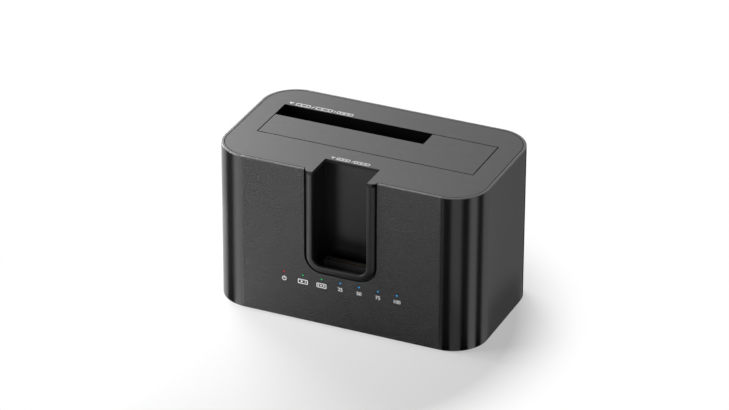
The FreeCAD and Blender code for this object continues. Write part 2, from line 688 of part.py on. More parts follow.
def base_cover():
    """The floor of the case: posts for the board, a lip inside the lower ledge, recesses
    for the feet and sunk holes for the screws."""
    body = new_body("base_cover")
    plate = sketch_on(body, "XY", mm.foot_proud)
    slack = 2 * mm.base_gap
    centred(plate, inner_width - slack, inner_depth - slack, inner_radius - mm.base_gap)
    grow(body, plate, mm.base_plate)
    lip = sketch_on(body, "XY", base_top)
    lip_slack, lip_inner = 2 * mm.lip_gap, 2 * (mm.lip_gap + mm.lip_wall)
    centred(lip, ledge_inner_width - lip_slack, ledge_inner_depth - lip_slack, mm.ledge_radius)
    centred(lip, ledge_inner_width - lip_inner, ledge_inner_depth - lip_inner,
            mm.ledge_radius - mm.lip_wall)
    grow(body, lip, mm.lip_height)
    posts = sketch_on(body, "XY", base_top)
    four_circles(posts, post_x, post_y, mm.post_radius)
    grow(body, posts, mm.post_height)
    pilots = sketch_on(body, "XY", board_top - mm.board_screw - mm.pilot_extra)
    four_circles(pilots, post_x, post_y, thread_hole)
    cut(body, pilots, mm.board_screw + mm.pilot_extra)
    recess = sketch_on(body, "XY", mm.foot_proud)
    four_circles(recess, foot_x, foot_y, mm.foot_radius + mm.foot_clear)
    cut(body, recess, mm.foot_height - mm.foot_proud)
    sunk = sketch_on(body, "XY", mm.foot_proud)
    four_circles(sunk, screw_x, screw_y, mm.head_radius + mm.head_clear)
    cut(body, sunk, mm.flat_head)
    through = sketch_on(body, "XY", mm.foot_proud)
    four_circles(through, screw_x, screw_y, pass_hole)
    cut(body, through, mm.base_plate)
    return body


def feet():
    for name, (side, end) in zip(("front_left", "front_right", "back_right", "back_left"), corners):
        body = new_body("foot_" + name)
        disc = sketch_on(body, "XY", ZERO)
        circle(disc, side * foot_x, plan_middle + end * foot_y, mm.foot_radius)
        grow(body, disc, mm.foot_height)
        round_edges(body, mm.foot_round, lambda e: lies_at(e, "z", 0))


def screws(label, x, y, seat, head, length, middle=plan_middle, upward=True):
    """Four cross-recessed screws: the heads below the seat and the threads above it, or
    the reverse."""
    body = new_body(label, group=True)
    heads = sketch_on(body, "XY", seat - head if upward else seat)
    four_circles(heads, x, y, mm.head_radius, middle)
    grow(body, heads, head)
    threads = sketch_on(body, "XY", seat if upward else seat - length)
    four_circles(threads, x, y, mm.screw_radius, middle)
    grow(body, threads, length)
    recess_foot = seat - head if upward else seat + head - mm.cross_depth
    for long_x, long_y in ((mm.cross_length, mm.cross_width), (mm.cross_width, mm.cross_length)):
        recess = sketch_on(body, "XY", recess_foot)
        for side, end in corners:
            at_x, at_y = side * x, middle + end * y
            rectangle(recess, at_x - long_x / 2, at_y - long_y / 2, at_x + long_x / 2, at_y + long_y / 2)
        cut(body, recess, mm.cross_depth)
    return body


# ---------------------------------------------------------------- drive bay
def drive_well():
    """The deep box under the bay opening: ribbed outside, with a window in its floor for
    the connector, ears that hang from the cover and the hinge pin's holes in its ends."""
    body = new_body("drive_well")
    outside = sketch_on(body, "XY", well_under)
    rectangle(outside, bay_left - mm.well_wall, well_front - mm.well_wall,
              bay_right + mm.well_wall, bay_back + mm.well_wall)
    grow(body, outside, cover_under - well_under)
    rib = sketch_on(body, "XY", well_under)
    first = bay_left + mm.rib_inset
    rectangle(rib, first - mm.rib_width / 2, well_front - mm.well_wall - mm.rib_proud,
              first + mm.rib_width / 2, bay_back + mm.well_wall + mm.rib_proud)
    rib_pad = grow(body, rib, ear_under - well_under)
    row_of(body, rib_pad, rib, "H_Axis", bay_length - 2 * mm.rib_inset, WELL_RIBS)
    ears = sketch_on(body, "XY", ear_under)
    for end in (-1, 1):
        ear_y = ear_middle + end * mm.ear_offset
        rectangle(ears, -ear_x, ear_y - mm.ear_width / 2, ear_x, ear_y + mm.ear_width / 2)
    grow(body, ears, mm.ear_plate)
    room = sketch_on(body, "XY", well_floor)
    rectangle(room, bay_left, well_front, bay_right, bay_back)
    cut(body, room, cover_under - well_floor + mm.reach)
    window = sketch_on(body, "XY", well_under - mm.reach)
    rectangle(window, sata_left - mm.window_gap, sata_y - mm.sata_width / 2 - mm.window_gap,
              sata_left + mm.sata_length + mm.window_gap, sata_y + mm.sata_width / 2 + mm.window_gap)
    cut(body, window, mm.well_wall + 2 * mm.reach)
    screw_holes = sketch_on(body, "XY", ear_under)
    four_circles(screw_holes, ear_screw_x, mm.ear_offset, pass_hole, ear_middle)
    cut(body, screw_holes, mm.ear_plate)
    pin_hole = sketch_on(body, "YZ", bay_left - mm.well_wall - mm.reach)
    circle(pin_hole, hinge_y, hinge_z, mm.pin_radius + mm.pin_fit)
    cut(body, pin_hole, bay_length + 2 * (mm.well_wall + mm.reach))
    return body


def drive_door():
    """The sprung flap that closes the bay round the small slot: an L-shaped plate, ribbed
    below, on three knuckles that hang under its front edge."""
    body = new_body("drive_door")
    left, right = bay_left + mm.door_gap, bay_right - mm.door_gap
    near, far = bay_front + mm.door_gap, bay_back - mm.door_gap
    under = top_face - mm.door_plate
    plate = sketch_on(body, "XY", under)
    outline(plate, [(left, near), (right, near), (right, far), (slot_right, far),
                    (slot_right, slot_front), (left, slot_front)])
    grow(body, plate, mm.door_plate)

    edge_rib = sketch_on(body, "XY", under - mm.door_rib)
    behind = hinge_y + mm.knuckle_web
    rectangle(edge_rib, left, slot_front - mm.rib_width, right, slot_front)
    grow(body, edge_rib, mm.door_rib)
    rib = sketch_on(body, "XY", under - mm.door_rib)
    first = left + mm.door_rib_inset
    rectangle(rib, first - mm.rib_width / 2, behind, first + mm.rib_width / 2, slot_front)
    rib_pad = grow(body, rib, mm.door_rib)
    row_of(body, rib_pad, rib, "H_Axis", right - left - 2 * mm.door_rib_inset, DOOR_RIBS)

    pad_under = hinge_z + coil_radius + mm.spring_wire / 2 + mm.spring_seat
    pad = sketch_on(body, "XY", pad_under)
    rectangle(pad, spring_end - mm.spring_pad / 2, behind, spring_end + mm.spring_pad / 2,
              hinge_y + mm.spring_leg)
    grow(body, pad, under - pad_under)

    start = left + mm.knuckle_inset
    web = sketch_on(body, "YZ", start)
    outline(web, [(hinge_y, hinge_z - mm.knuckle_radius), (behind, hinge_z - mm.knuckle_radius),
                  (behind, under), (near, under), (near, hinge_z + mm.knuckle_radius),
                  (hinge_y, hinge_z + mm.knuckle_radius)])
    web_pad = grow(body, web, mm.knuckle_length)
    span = right - left - 2 * mm.knuckle_inset - mm.knuckle_length
    row_of(body, web_pad, web, "N_Axis", span, KNUCKLES)
    barrel = sketch_on(body, "YZ", start)
    circle(barrel, hinge_y, hinge_z, mm.knuckle_radius)
    barrel_pad = grow(body, barrel, mm.knuckle_length)
    row_of(body, barrel_pad, barrel, "N_Axis", span, KNUCKLES)
    bore = sketch_on(body, "YZ", bay_left)
    circle(bore, hinge_y, hinge_z, mm.pin_radius + mm.pin_run)
    cut(body, bore, bay_length)
    return body


def door_pin():
    body = new_body("door_pin")
    section = sketch_on(body, "YZ", bay_left - mm.well_wall)
    circle(section, hinge_y, hinge_z, mm.pin_radius)
    grow(body, section, bay_length + 2 * mm.well_wall)
    return body


def door_spring():
    """The torsion spring on the hinge pin: a helix with a long leg under the pad of the
    door and a short tail at its other end."""
    body = new_body("door_spring")

    def wire_end(level, x):
        end = sketch_on(body, "XZ", level)
        bind(end, ".AttachmentOffset.Base.y", hinge_z)
        circle(end, x, coil_radius, mm.spring_wire / 2)
        return end

    wire = wire_end(hinge_y, spring_start)
    coil = body.newObject("PartDesign::AdditiveHelix", "door_spring_coil")
    coil.Profile = wire
    coil.ReferenceAxis = (wire, ["H_Axis"])
    coil.Mode = "pitch-height-angle"
    bind(coil, "Pitch", mm.spring_pitch)
    bind(coil, "Height", mm.spring_pitch * mm.spring_turns)
    coil.LeftHanded = True
    grow(body, wire_end(hinge_y, spring_start), mm.spring_tail)
    grow(body, wire_end(hinge_y + mm.spring_leg, spring_end), mm.spring_leg)
    return body


# ---------------------------------------------------------------- card pocket
def card_pocket():
    """The open-fronted box for the card: a floor with a window for the connector, a
    flange behind the front wall and the round bead that stands out of the cut."""
    body = new_body("card_pocket")
    box = sketch_on(body, "XY", pocket_under)
    outer = pocket_half + mm.pocket_wall
    rectangle(box, -outer, front_inside, outer, notch_back + mm.pocket_wall)
    grow(body, box, cover_under - pocket_under)
    flange = sketch_on(body, "XZ", flange_back)
    rounded(flange, -flange_half, mm.cut_bottom - mm.flange_lap, flange_half, cover_under,
            mm.cut_radius + mm.flange_lap, open_top=True)
    grow(body, flange, mm.flange_plate)
    bead = sketch_on(body, "XZ", front_inside)
    rounded(bead, -bead_half, bead_foot, bead_half, cover_under, bead_radius, open_top=True)
    grow(body, bead, mm.shell_wall + mm.bead_proud)
    round_edges(body, mm.bead_outer_round,
                lambda e: lies_at(e, "y", bead_front.value) and not lies_at(e, "z", cover_under.value))
    room = sketch_on(body, "XY", pocket_base)
    rectangle(room, -pocket_half, bead_front + mm.bead_lip, pocket_half, notch_back)
    cut(body, room, cover_under - pocket_base + mm.reach)
    mouth = sketch_on(body, "XZ", flange_back)
    mouth_foot = bead_foot + bead_width
    rounded(mouth, -pocket_half, mouth_foot, pocket_half, cover_under + mm.reach,
            bead_radius - bead_width, open_top=True)
    cut(body, mouth, flange_back - bead_front + mm.reach)
    window = sketch_on(body, "XY", pocket_under - mm.reach)
    half = mm.card_length / 2 + mm.window_gap
    rectangle(window, -half, card_y - mm.card_width / 2 - mm.window_gap,
              half, card_y + mm.card_width / 2 + mm.window_gap)
    cut(body, window, mm.pocket_floor + 2 * mm.reach)

    def mouth_edge(edge):
        box = edge.BoundBox
        wide = max(abs(box.XMin), abs(box.XMax))
        within = wide < pocket_half.value + TOUCH and box.ZMin > mouth_foot.value - TOUCH
        return lies_at(edge, "y", bead_front.value) and within

    round_edges(body, mm.bead_inner_round, mouth_edge)
    return body


# ---------------------------------------------------------------- board and connectors
def main_board():
    body = new_body("main_board")
    slack = 2 * mm.board_gap
    plate = sketch_on(body, "XY", board_under)
    centred(plate, ledge_inner_width - slack, ledge_inner_depth - slack, mm.ledge_radius)
    grow(body, plate, mm.board_thickness)
    holes = sketch_on(body, "XY", board_under)
    four_circles(holes, post_x, post_y, pass_hole)
    cut(body, holes, mm.board_thickness)
    return body


power_left = sata_left + mm.sata_post
signal_right = sata_left + mm.sata_length - mm.sata_post
slot_low = sata_y - mm.tongue_slot / 2
slot_high = sata_y + mm.tongue_slot / 2


def sata_socket():
    """The drive connector: a block with the long power slot and the short signal slot,
    each with its key at the end."""
    body = new_body("sata_socket")
    block = sketch_on(body, "XY", board_top)
    rectangle(block, sata_left, sata_y - mm.sata_width / 2, sata_left + mm.sata_length,
              sata_y + mm.sata_width / 2)
    grow(body, block, mm.sata_height)
    slots = sketch_on(body, "XY", board_top + mm.sata_height - mm.tongue_depth)
    key_low = slot_low - mm.key_depth
    power_right = power_left + mm.power_tongue
    signal_left = signal_right - mm.signal_tongue
    outline(slots, [(power_left, slot_low), (power_right - mm.key_length, slot_low),
                    (power_right - mm.key_length, key_low), (power_right, key_low),
                    (power_right, slot_high), (power_left, slot_high)])
    outline(slots, [(signal_left, slot_low), (signal_right - mm.key_length, slot_low),
                    (signal_right - mm.key_length, key_low), (signal_right, key_low),
                    (signal_right, slot_high), (signal_left, slot_high)])
    cut(body, slots, mm.tongue_depth + mm.reach)
    return body


def sata_contacts():
    """The power and signal blades against the back of their slots."""
    body = new_body("sata_contacts", group=True)
    floor = board_top + mm.sata_height - mm.tongue_depth
    signal_first = signal_right - mm.signal_tongue + mm.contact_width
    starts = ((power_left + mm.contact_pitch, POWER_CONTACTS), (signal_first, SIGNAL_CONTACTS))
    for first, count in starts:
        blade = sketch_on(body, "XY", floor)
        rectangle(blade, first, slot_high - mm.contact_thick, first + mm.contact_width, slot_high)
        pad = grow(body, blade, mm.contact_height)
        row_of(body, pad, blade, "H_Axis", (count - 1) * mm.contact_pitch, count)
    return body


def card_socket():
    body = new_body("card_socket")
    block = sketch_on(body, "XY", board_top)
    rectangle(block, -mm.card_length / 2, card_y - mm.card_width / 2, mm.card_length / 2,
              card_y + mm.card_width / 2)
    grow(body, block, mm.card_height)
    slot = sketch_on(body, "XY", board_top + mm.card_height - mm.card_slot_depth)
    rectangle(slot, -mm.card_slot_length / 2, card_y - mm.card_slot_width / 2,
              mm.card_slot_length / 2, card_y + mm.card_slot_width / 2)
    cut(body, slot, mm.card_slot_depth + mm.reach)
    return body


def card_contacts():
    """Two rows of contacts that face each other across the card slot."""
    body = new_body("card_contacts", group=True)
    floor = board_top + mm.card_height - mm.card_slot_depth
    span = (CARD_CONTACTS - 1) * mm.card_pitch
    first = -(span + mm.card_contact) / 2
    near, far = card_y - mm.card_slot_width / 2, card_y + mm.card_slot_width / 2
    for low, high in ((near, near + mm.card_contact_thick), (far - mm.card_contact_thick, far)):
        blade = sketch_on(body, "XY", floor)
        rectangle(blade, first, low, first + mm.card_contact, high)
        pad = grow(body, blade, mm.card_slot_depth - mm.card_contact)
        row_of(body, pad, blade, "H_Axis", span, CARD_CONTACTS)
    return body


# ---------------------------------------------------------------- rear ports and controls
def usb_port():
    shell = new_body("usb_shell")
    mouth = back - mm.usb_recess
    half_x, half_z = mm.usb_width / 2, mm.usb_height / 2
    tube = sketch_on(shell, "XZ", mouth)
    rounded(tube, mm.usb_x - half_x, usb_z - half_z, mm.usb_x + half_x, usb_z + half_z, mm.usb_corner)
    grow(shell, tube, mm.usb_length)
    room = sketch_on(shell, "XZ", mouth + mm.reach)
    in_x, in_z = half_x - mm.usb_wall, half_z - mm.usb_wall
    rounded(room, mm.usb_x - in_x, usb_z - in_z, mm.usb_x + in_x, usb_z + in_z,
            mm.usb_corner - mm.usb_wall)
    cut(shell, room, mm.usb_length - mm.usb_wall + mm.reach)
    tongue = new_body("usb_tongue")
    section = sketch_on(tongue, "XZ", mouth - mm.usb_tongue_set)
    rectangle(section, mm.usb_x - mm.usb_tongue_width / 2, usb_z - mm.usb_tongue_plate / 2,
              mm.usb_x + mm.usb_tongue_width / 2, usb_z + mm.usb_tongue_plate / 2)
    grow(tongue, section, mm.usb_length - mm.usb_wall - mm.usb_tongue_set)


def power_inlet():
    body = new_body("power_inlet")
    half = mm.jack_width / 2
    block = sketch_on(body, "XZ", port_face)
    rectangle(block, jack_x - half, board_top, jack_x + half, board_top + mm.jack_height)
    grow(body, block, jack_length)
    bore = sketch_on(body, "XZ", port_face + mm.reach)
    circle(bore, jack_x, jack_z, mm.jack_bore)
    cut(body, bore, jack_bore_depth + mm.reach)
    pin = new_body("inlet_pin")
    tip = port_face - mm.jack_pin_set
    section = sketch_on(pin, "XZ", tip)
    circle(section, jack_x, jack_z, mm.jack_pin_radius)
    grow(pin, section, jack_bore_depth - mm.jack_pin_set)
    round_edges(pin, mm.jack_pin_radius / 2, lambda e: lies_at(e, "y", tip.value))


def power_switch():
    """A rocker switch: its frame stands on the board and the rocker tips on an upright
    axle; at rest the left end, seen from behind, is in."""
    body = new_body("switch_frame")
    block = sketch_on(body, "XZ", port_face)
    half_x, half_z = mm.switch_width / 2, mm.switch_height / 2
    rectangle(block, mm.switch_x - half_x, board_top, mm.switch_x + half_x, board_top + mm.switch_height)
    grow(body, block, mm.switch_length)
    room = sketch_on(body, "XZ", port_face + mm.reach)
    room_x, room_z = mm.switch_room_x / 2, mm.switch_room_z / 2
    rectangle(room, mm.switch_x - room_x, switch_z - room_z, mm.switch_x + room_x, switch_z + room_z)
    cut(body, room, mm.switch_room_y + mm.reach)
    axle_hole = sketch_on(body, "XY", switch_z - room_z - mm.axle_end - mm.axle_run)
    circle(axle_hole, mm.switch_x, pivot_y, mm.axle_radius + mm.axle_run)
    cut(body, axle_hole, 2 * (room_z + mm.axle_end + mm.axle_run))

    rocker = new_body("power_rocker")
    half = room_z - mm.rocker_side
    profile = sketch_on(rocker, "XY", -half)
    end = mm.rocker_half
    shoulder = mm.rocker_crest - mm.rocker_dip
    outline(profile, [(-end, mm.rocker_crest), (-end, shoulder), (-mm.rocker_toe, -mm.rocker_foot),
                      (mm.rocker_toe, -mm.rocker_foot), (end, shoulder), (end, mm.rocker_crest),
                      (ZERO, mm.rocker_dip)])
    grow(rocker, profile, 2 * half)
    axle = sketch_on(rocker, "XY", -(room_z + mm.axle_end))
    circle(axle, ZERO, ZERO, mm.axle_radius)
    grow(rocker, axle, 2 * (room_z + mm.axle_end))
    rocker.Placement = FreeCAD.Placement(FreeCAD.Vector(), FreeCAD.Rotation(FreeCAD.Vector(0, 0, 1), 0))
    bind(rocker, ".Placement.Base.x", mm.switch_x)
    bind(rocker, ".Placement.Base.y", pivot_y)
    bind(rocker, ".Placement.Base.z", switch_z)
    bind(rocker, ".Placement.Rotation.Angle", mm.rocker_tilt)


def copy_button():
    """The button that starts a copy: a dished cap behind the rear wall on the stem of a
    push switch."""
    flange_face = back_inside - mm.button_air
    flange_near = flange_face - mm.button_flange_plate
    switch_face = flange_near - mm.button_stem_out
    cap = new_body("copy_button")
    flange = sketch_on(cap, "XZ", flange_face)
    circle(flange, button_x, button_z, mm.button_flange)
    grow(cap, flange, mm.button_flange_plate)
    crown = sketch_on(cap, "XZ", back - mm.button_recess)
    circle(crown, button_x, button_z, mm.button_radius)
    grow(cap, crown, back - mm.button_recess - flange_near)
    round_edges(cap, mm.button_dish, lambda e: lies_at(e, "y", (back - mm.button_recess).value))
    stem = new_body("button_stem")
    rod = sketch_on(stem, "XZ", flange_near)
    circle(rod, button_x, button_z, mm.button_stem)
    grow(stem, rod, mm.button_stem_out + mm.button_stem_in)
    switch = new_body("push_switch")
    block = sketch_on(switch, "XZ", switch_face)
    rectangle(block, button_x - mm.button_switch / 2, board_top, button_x + mm.button_switch / 2,
              board_top + mm.button_switch_height)
    grow(switch, block, mm.button_switch_length)
    hole = sketch_on(switch, "XZ", switch_face + mm.reach)
    circle(hole, button_x, button_z, mm.button_stem + mm.button_fit)
    cut(switch, hole, mm.reach + mm.button_stem_in + mm.button_room)


# ---------------------------------------------------------------- lights
def light_pipes():
    """Right-angled clear rods, each from above its chip to its hole in the front."""
    low = board_top + mm.led_height + mm.led_air
    for number in range(LIGHTS):
        body = new_body("light_pipe_%d" % (number + 1))
        x = number * mm.light_pitch - light_span / 2
        path = sketch_on(body, "YZ", x)
        y0, y1 = light_y, light_y - mm.light_bend
        z1, z0 = mm.light_height, mm.light_height - mm.light_bend
        up = path.addGeometry(Part.LineSegment(point(y0, low), point(y0, z0)))
        bend = arc(path, y1, z0, mm.light_bend, 0)
        out = path.addGeometry(Part.LineSegment(point(y1, z1), point(front, z1)))
        path.addConstraint(Sketcher.Constraint("Tangent", up, 2, bend, 1))
        path.addConstraint(Sketcher.Constraint("Tangent", bend, 2, out, 1))
        path.addConstraint(Sketcher.Constraint("Vertical", up))
        path.addConstraint(Sketcher.Constraint("Horizontal", out))
        fix(path, "DistanceX", y0, -1, 1, up, 1)
        fix(path, "DistanceY", low, -1, 1, up, 1)
        fix(path, "Radius", mm.light_bend, bend)
        fix(path, "DistanceX", front, -1, 1, out, 2)
        fix(path, "DistanceY", z1, -1, 1, out, 2)
        section = sketch_on(body, "XY", low)
        circle(section, x, y0, mm.light_radius)
        pipe = body.newObject("PartDesign::AdditivePipe", body.Label + "_pipe")
        pipe.Profile = section
        pipe.Spine = (path, [""])
        collar = sketch_on(body, "XZ", front_inside + mm.collar_plate)
        circle(collar, x, mm.light_height, mm.collar_radius)
        grow(body, collar, mm.collar_plate)


def status_leds():
    body = new_body("status_leds", group=True)
    chip = sketch_on(body, "XY", board_top)
    first = -light_span / 2
    rectangle(chip, first - mm.led_length / 2, light_y - mm.led_width / 2,
              first + mm.led_length / 2, light_y + mm.led_width / 2)
    pad = grow(body, chip, mm.led_height)
    row_of(body, pad, chip, "H_Axis", light_span, LIGHTS)


# ---------------------------------------------------------------- parts on the board
def board_part(label, spots, width, depth, height, corner=None):
    """Identical box-shaped parts that stand on the board at the given places."""
    body = new_body(label, group=len(spots) > 1)
    sketch = sketch_on(body, "XY", board_top)
    for x, y in spots:
        edges = (x - width / 2, y - depth / 2, x + width / 2, y + depth / 2)
        if corner:
            rounded(sketch, *edges, corner)
        else:
            rectangle(sketch, *edges)
    grow(body, sketch, height)


def board_parts():
    board_half = ledge_inner_width / 2 - mm.board_gap
    tall_y = front + mm.front_strip
    bridge_x = board_half - mm.bridge_inset
    small_x = mm.small_chip_inset - board_half
    small_y = plan_middle + mm.small_chip_y
    memory_y = plan_middle - (mm.bridge_chip + mm.memory_width) / 2 - mm.memory_gap
    beside = mm.crystal_gap + mm.crystal_length / 2
    coil_x = board_half - mm.coil_inset
    board_part("drive_bridge", [(bridge_x, plan_middle)], mm.bridge_chip, mm.bridge_chip, mm.chip_height)
    board_part("card_bridge", [(small_x, small_y)], mm.small_chip, mm.small_chip, mm.chip_height)
    board_part("memory_chip", [(bridge_x, memory_y)], mm.memory_length, mm.memory_width, mm.chip_height)
    board_part("inductors", [(coil_x - number * mm.coil_pitch, tall_y) for number in range(COILS)],
               mm.coil_size, mm.coil_size, mm.coil_height, mm.coil_round)
    board_part("crystals", [(bridge_x + mm.bridge_chip / 2 + beside, plan_middle),
                            (small_x - mm.small_chip / 2 - beside, small_y)],
               mm.crystal_length, mm.crystal_width, mm.crystal_height)
    cans = new_body("capacitors", group=True)
    ring = sketch_on(cans, "XY", board_top)
    for number in range(CANS):
        circle(ring, mm.can_inset + number * mm.can_pitch - board_half, tall_y, mm.can_radius)
    grow(cans, ring, mm.can_height)


outer_sleeve()
top_cover()
base_cover()
feet()
drive_well()
drive_door()
door_pin()
door_spring()
card_pocket()
main_board()
sata_socket()
sata_contacts()
card_socket()
card_contacts()
usb_port()
power_inlet()
power_switch()
copy_button()
light_pipes()
status_leds()
board_parts()
screws("cover_screws", screw_x, screw_y, shelf_under, mm.head_height, mm.long_screw)
screws("base_screws", screw_x, screw_y, mm.foot_proud + mm.flat_head, mm.flat_head, mm.long_screw)
screws("well_screws", ear_screw_x, mm.ear_offset, ear_under, mm.head_height, mm.short_screw,
       middle=ear_middle)
screws("board_screws", post_x, post_y, board_top, mm.head_height, mm.board_screw, upward=False)
doc.recompute()

for item in doc.Objects:
    if "Invalid" in item.State or "Error" in item.State:
        raise RuntimeError("%s did not build: %s" % (item.Label, item.State))
for part in PARTS:
    if part.Shape.isNull() or not part.Shape.isValid() or not part.Shape.Solids:
        raise RuntimeError("%s has no valid solid" % part.Label)

os.makedirs("parts", exist_ok=True)
for part in PARTS:
    part.Shape.exportStep("parts/%s.step" % part.Label)
    box = part.Shape.BoundBox
    print("%-20s solids %2d volume %9.1f  x %7.2f %7.2f  y %7.2f %7.2f  z %6.2f %6.2f" % (
        part.Label, len(part.Shape.Solids), part.Shape.Volume,
        box.XMin, box.XMax, box.YMin, box.YMax, box.ZMin, box.ZMax))
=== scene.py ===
import math

import bpy
import numpy as np
from mathutils import Matrix, Vector


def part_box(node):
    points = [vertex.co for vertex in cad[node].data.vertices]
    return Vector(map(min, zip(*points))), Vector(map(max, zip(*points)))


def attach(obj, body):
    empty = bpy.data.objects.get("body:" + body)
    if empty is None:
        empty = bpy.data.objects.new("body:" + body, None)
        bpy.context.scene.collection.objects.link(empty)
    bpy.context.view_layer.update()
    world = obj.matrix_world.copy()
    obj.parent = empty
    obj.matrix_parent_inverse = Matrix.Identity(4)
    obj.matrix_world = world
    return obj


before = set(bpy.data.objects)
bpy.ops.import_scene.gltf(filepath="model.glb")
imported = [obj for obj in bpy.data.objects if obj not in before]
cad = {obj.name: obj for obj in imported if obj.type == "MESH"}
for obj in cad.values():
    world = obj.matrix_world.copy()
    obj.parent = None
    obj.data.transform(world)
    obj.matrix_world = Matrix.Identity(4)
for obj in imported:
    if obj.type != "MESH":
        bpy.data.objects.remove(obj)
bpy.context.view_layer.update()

# Finishes, printed marks and studio for the drive duplicator. Lengths are in metres.

# ---------------------------------------------------------------- places on the object

MM = 0.001


def middle_of(node):
    """The middle of the box round a node."""
    low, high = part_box(node)
    return [(a + b) / 2 for a, b in zip(low, high)]


SLEEVE_LOW, SLEEVE_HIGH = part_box("outer_sleeve")
SLEEVE_MIDDLE = middle_of("outer_sleeve")
CORNER_RADIUS = 16.5 * MM
FLAT_HALF = SLEEVE_HIGH[0] - CORNER_RADIUS
END_HALF = SLEEVE_HIGH[1] - SLEEVE_MIDDLE[1] - CORNER_RADIUS
FRONT = SLEEVE_LOW[1]
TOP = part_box("top_cover")[1][2]
BEAD_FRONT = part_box("card_pocket")[0][1]
SLOT_LEFT = -52.0 * MM
SLOT_BACK = 19.0 * MM
NOTCH_BACK = -22.15 * MM
LIGHT_FIRST = middle_of("light_pipe_1")[0]
LIGHT_PITCH = middle_of("light_pipe_2")[0] - LIGHT_FIRST
LIGHT_HEIGHT = 23.15 * MM
LIGHT_COUNT = 7

# Where one finish, painted shade or painted highlight changes into another, as a start and an end.
# Painted shade: the sleeve's inside by the seam is painted nearly black from here inwards.
SEAM_SHADE_PAINT = (15.28 * MM, 15.16 * MM)
# Painted highlight: the sleeve's rim is painted pale over this height.
RIM_HIGHLIGHT_PAINT = (TOP - 0.5 * MM, TOP - 0.15 * MM)
SMOOTH_CORNER = (FLAT_HALF - 0.3 * MM, FLAT_HALF + 1.0 * MM)
# Painted shade: below the cover's top face its faces are painted nearly black.
COVER_SKIN = (TOP - 0.09 * MM, TOP - 0.03 * MM)
# Painted light: in the notch the cover's low faces are painted paler.
NOTCH_SIDE = (16.0 * MM, 15.0 * MM)
NOTCH_DEPTH = (NOTCH_BACK + 1.15 * MM, NOTCH_BACK + 0.15 * MM)
# Painted shade: behind the bead the pocket is painted darker.
POCKET_BEAD = (BEAD_FRONT + 2.4 * MM, BEAD_FRONT + 1.2 * MM)
ROD_HEART = (0.55 * MM, 0.1 * MM)

# ---------------------------------------------------------------- shader helpers


def colour(red, green, blue):
    return (red, green, blue, 1.0)


BLACK = colour(0, 0, 0)
WHITE = colour(1, 1, 1)

# The factor and the two colours among a mix node's inputs.
COLOUR_SOCKETS = (0, 6, 7)


def feed(tree, value, socket):
    """Links a value that is a socket, and writes any other on the socket itself."""
    if isinstance(value, bpy.types.NodeSocket):
        tree.links.new(value, socket)
    else:
        socket.default_value = value


def fill(tree, node, **inputs):
    """Feeds a node's inputs by name, with a line between words where the name has a space."""
    for name, value in inputs.items():
        feed(tree, value, node.inputs[name.replace("_", " ")])


def put(tree, kind, **inputs):
    """Adds a node and feeds its inputs."""
    made = tree.nodes.new(kind)
    fill(tree, made, **inputs)
    return made


def maths(tree, operation, *values):
    """A sum on one, two or three values."""
    made = tree.nodes.new("ShaderNodeMath")
    made.operation = operation
    for socket, value in zip(made.inputs, values):
        feed(tree, value, socket)
    return made.outputs[0]


def blend_colours(tree, factor, first, second):
    """The first colour at a factor of 0 and the second at 1."""
    made = tree.nodes.new("ShaderNodeMix")
    made.data_type = "RGBA"
    for index, value in zip(COLOUR_SOCKETS, (factor, first, second)):
        feed(tree, value, made.inputs[index])
    return made.outputs[2]


def blend_values(tree, factor, first, second):
    """The first value at a factor of 0 and the second at 1."""
    return maths(tree, "MULTIPLY_ADD", factor, second - first, first)


def blend_shaders(tree, factor, first, second):
    """The first shader at a factor of 0 and the second at 1."""
    made = tree.nodes.new("ShaderNodeMixShader")
    for socket, value in zip(made.inputs, (factor, first, second)):
        tree.links.new(value, socket)
    return made.outputs[0]


def smooth_step(tree, value, start, end):
    """0 up to the start, 1 from the end, and a soft change between them. The end may lie below."""
    made = put(tree, "ShaderNodeMapRange", Value=value, From_Min=start, From_Max=end)
    made.interpolation_type = "SMOOTHSTEP"
    return made.outputs[0]


def length_of(tree, across, up):
    """The root of the sum of two squares."""
    squares = maths(tree, "ADD", maths(tree, "MULTIPLY", across, across), maths(tree, "MULTIPLY", up, up))
    return maths(tree, "SQRT", squares)


def beyond(tree, value, start):
    """How far a length goes past a start on either side of zero, and 0 short of it."""
    past = maths(tree, "SUBTRACT", maths(tree, "ABSOLUTE", value), start)
    return maths(tree, "MAXIMUM", past, 0.0)


def object_place(tree):
    """A point's place on the object."""
    return tree.nodes.new("ShaderNodeTexCoord").outputs["Object"]


def place_parts(tree):
    """A point's place on the object, as X, Y and Z apart."""
    return put(tree, "ShaderNodeSeparateXYZ", Vector=object_place(tree)).outputs


def soft_edges(tree, radius):
    """The surface's normal with its sharp edges rounded."""
    edge = put(tree, "ShaderNodeBevel", Radius=radius)
    edge.samples = 4
    return edge.outputs["Normal"]


def raised(tree, height, depth, normal):
    """A normal tilted by a pattern of heights, which reaches up to a depth."""
    return put(tree, "ShaderNodeBump", Height=height, Distance=depth, Normal=normal).outputs["Normal"]


def new_group(name, inputs, outputs):
    """A node group with named inputs and outputs, each of them a plain value."""
    group = bpy.data.node_groups.new(name, "ShaderNodeTree")
    for label, default in inputs:
        socket = group.interface.new_socket(label, in_out="INPUT", socket_type="NodeSocketFloat")
        socket.default_value = default
    for label in outputs:
        group.interface.new_socket(label, in_out="OUTPUT", socket_type="NodeSocketFloat")
    return group, group.nodes.new("NodeGroupInput"), group.nodes.new("NodeGroupOutput")


def use_group(tree, group, **values):
    """Places a node group in a material with the material's own values, and gives its outputs."""
    made = tree.nodes.new("ShaderNodeGroup")
    made.node_tree = group
    fill(tree, made, **values)
    return made.outputs


def new_material(name):
    material = bpy.data.materials.new(name)
    material.use_nodes = True
    tree = material.node_tree
    return material, tree, tree.nodes["Principled BSDF"]


BROAD_SHARE = 0.12
DRIFT_SHARE = 0.6
CREASE = 0.35
SWELL = 0.5


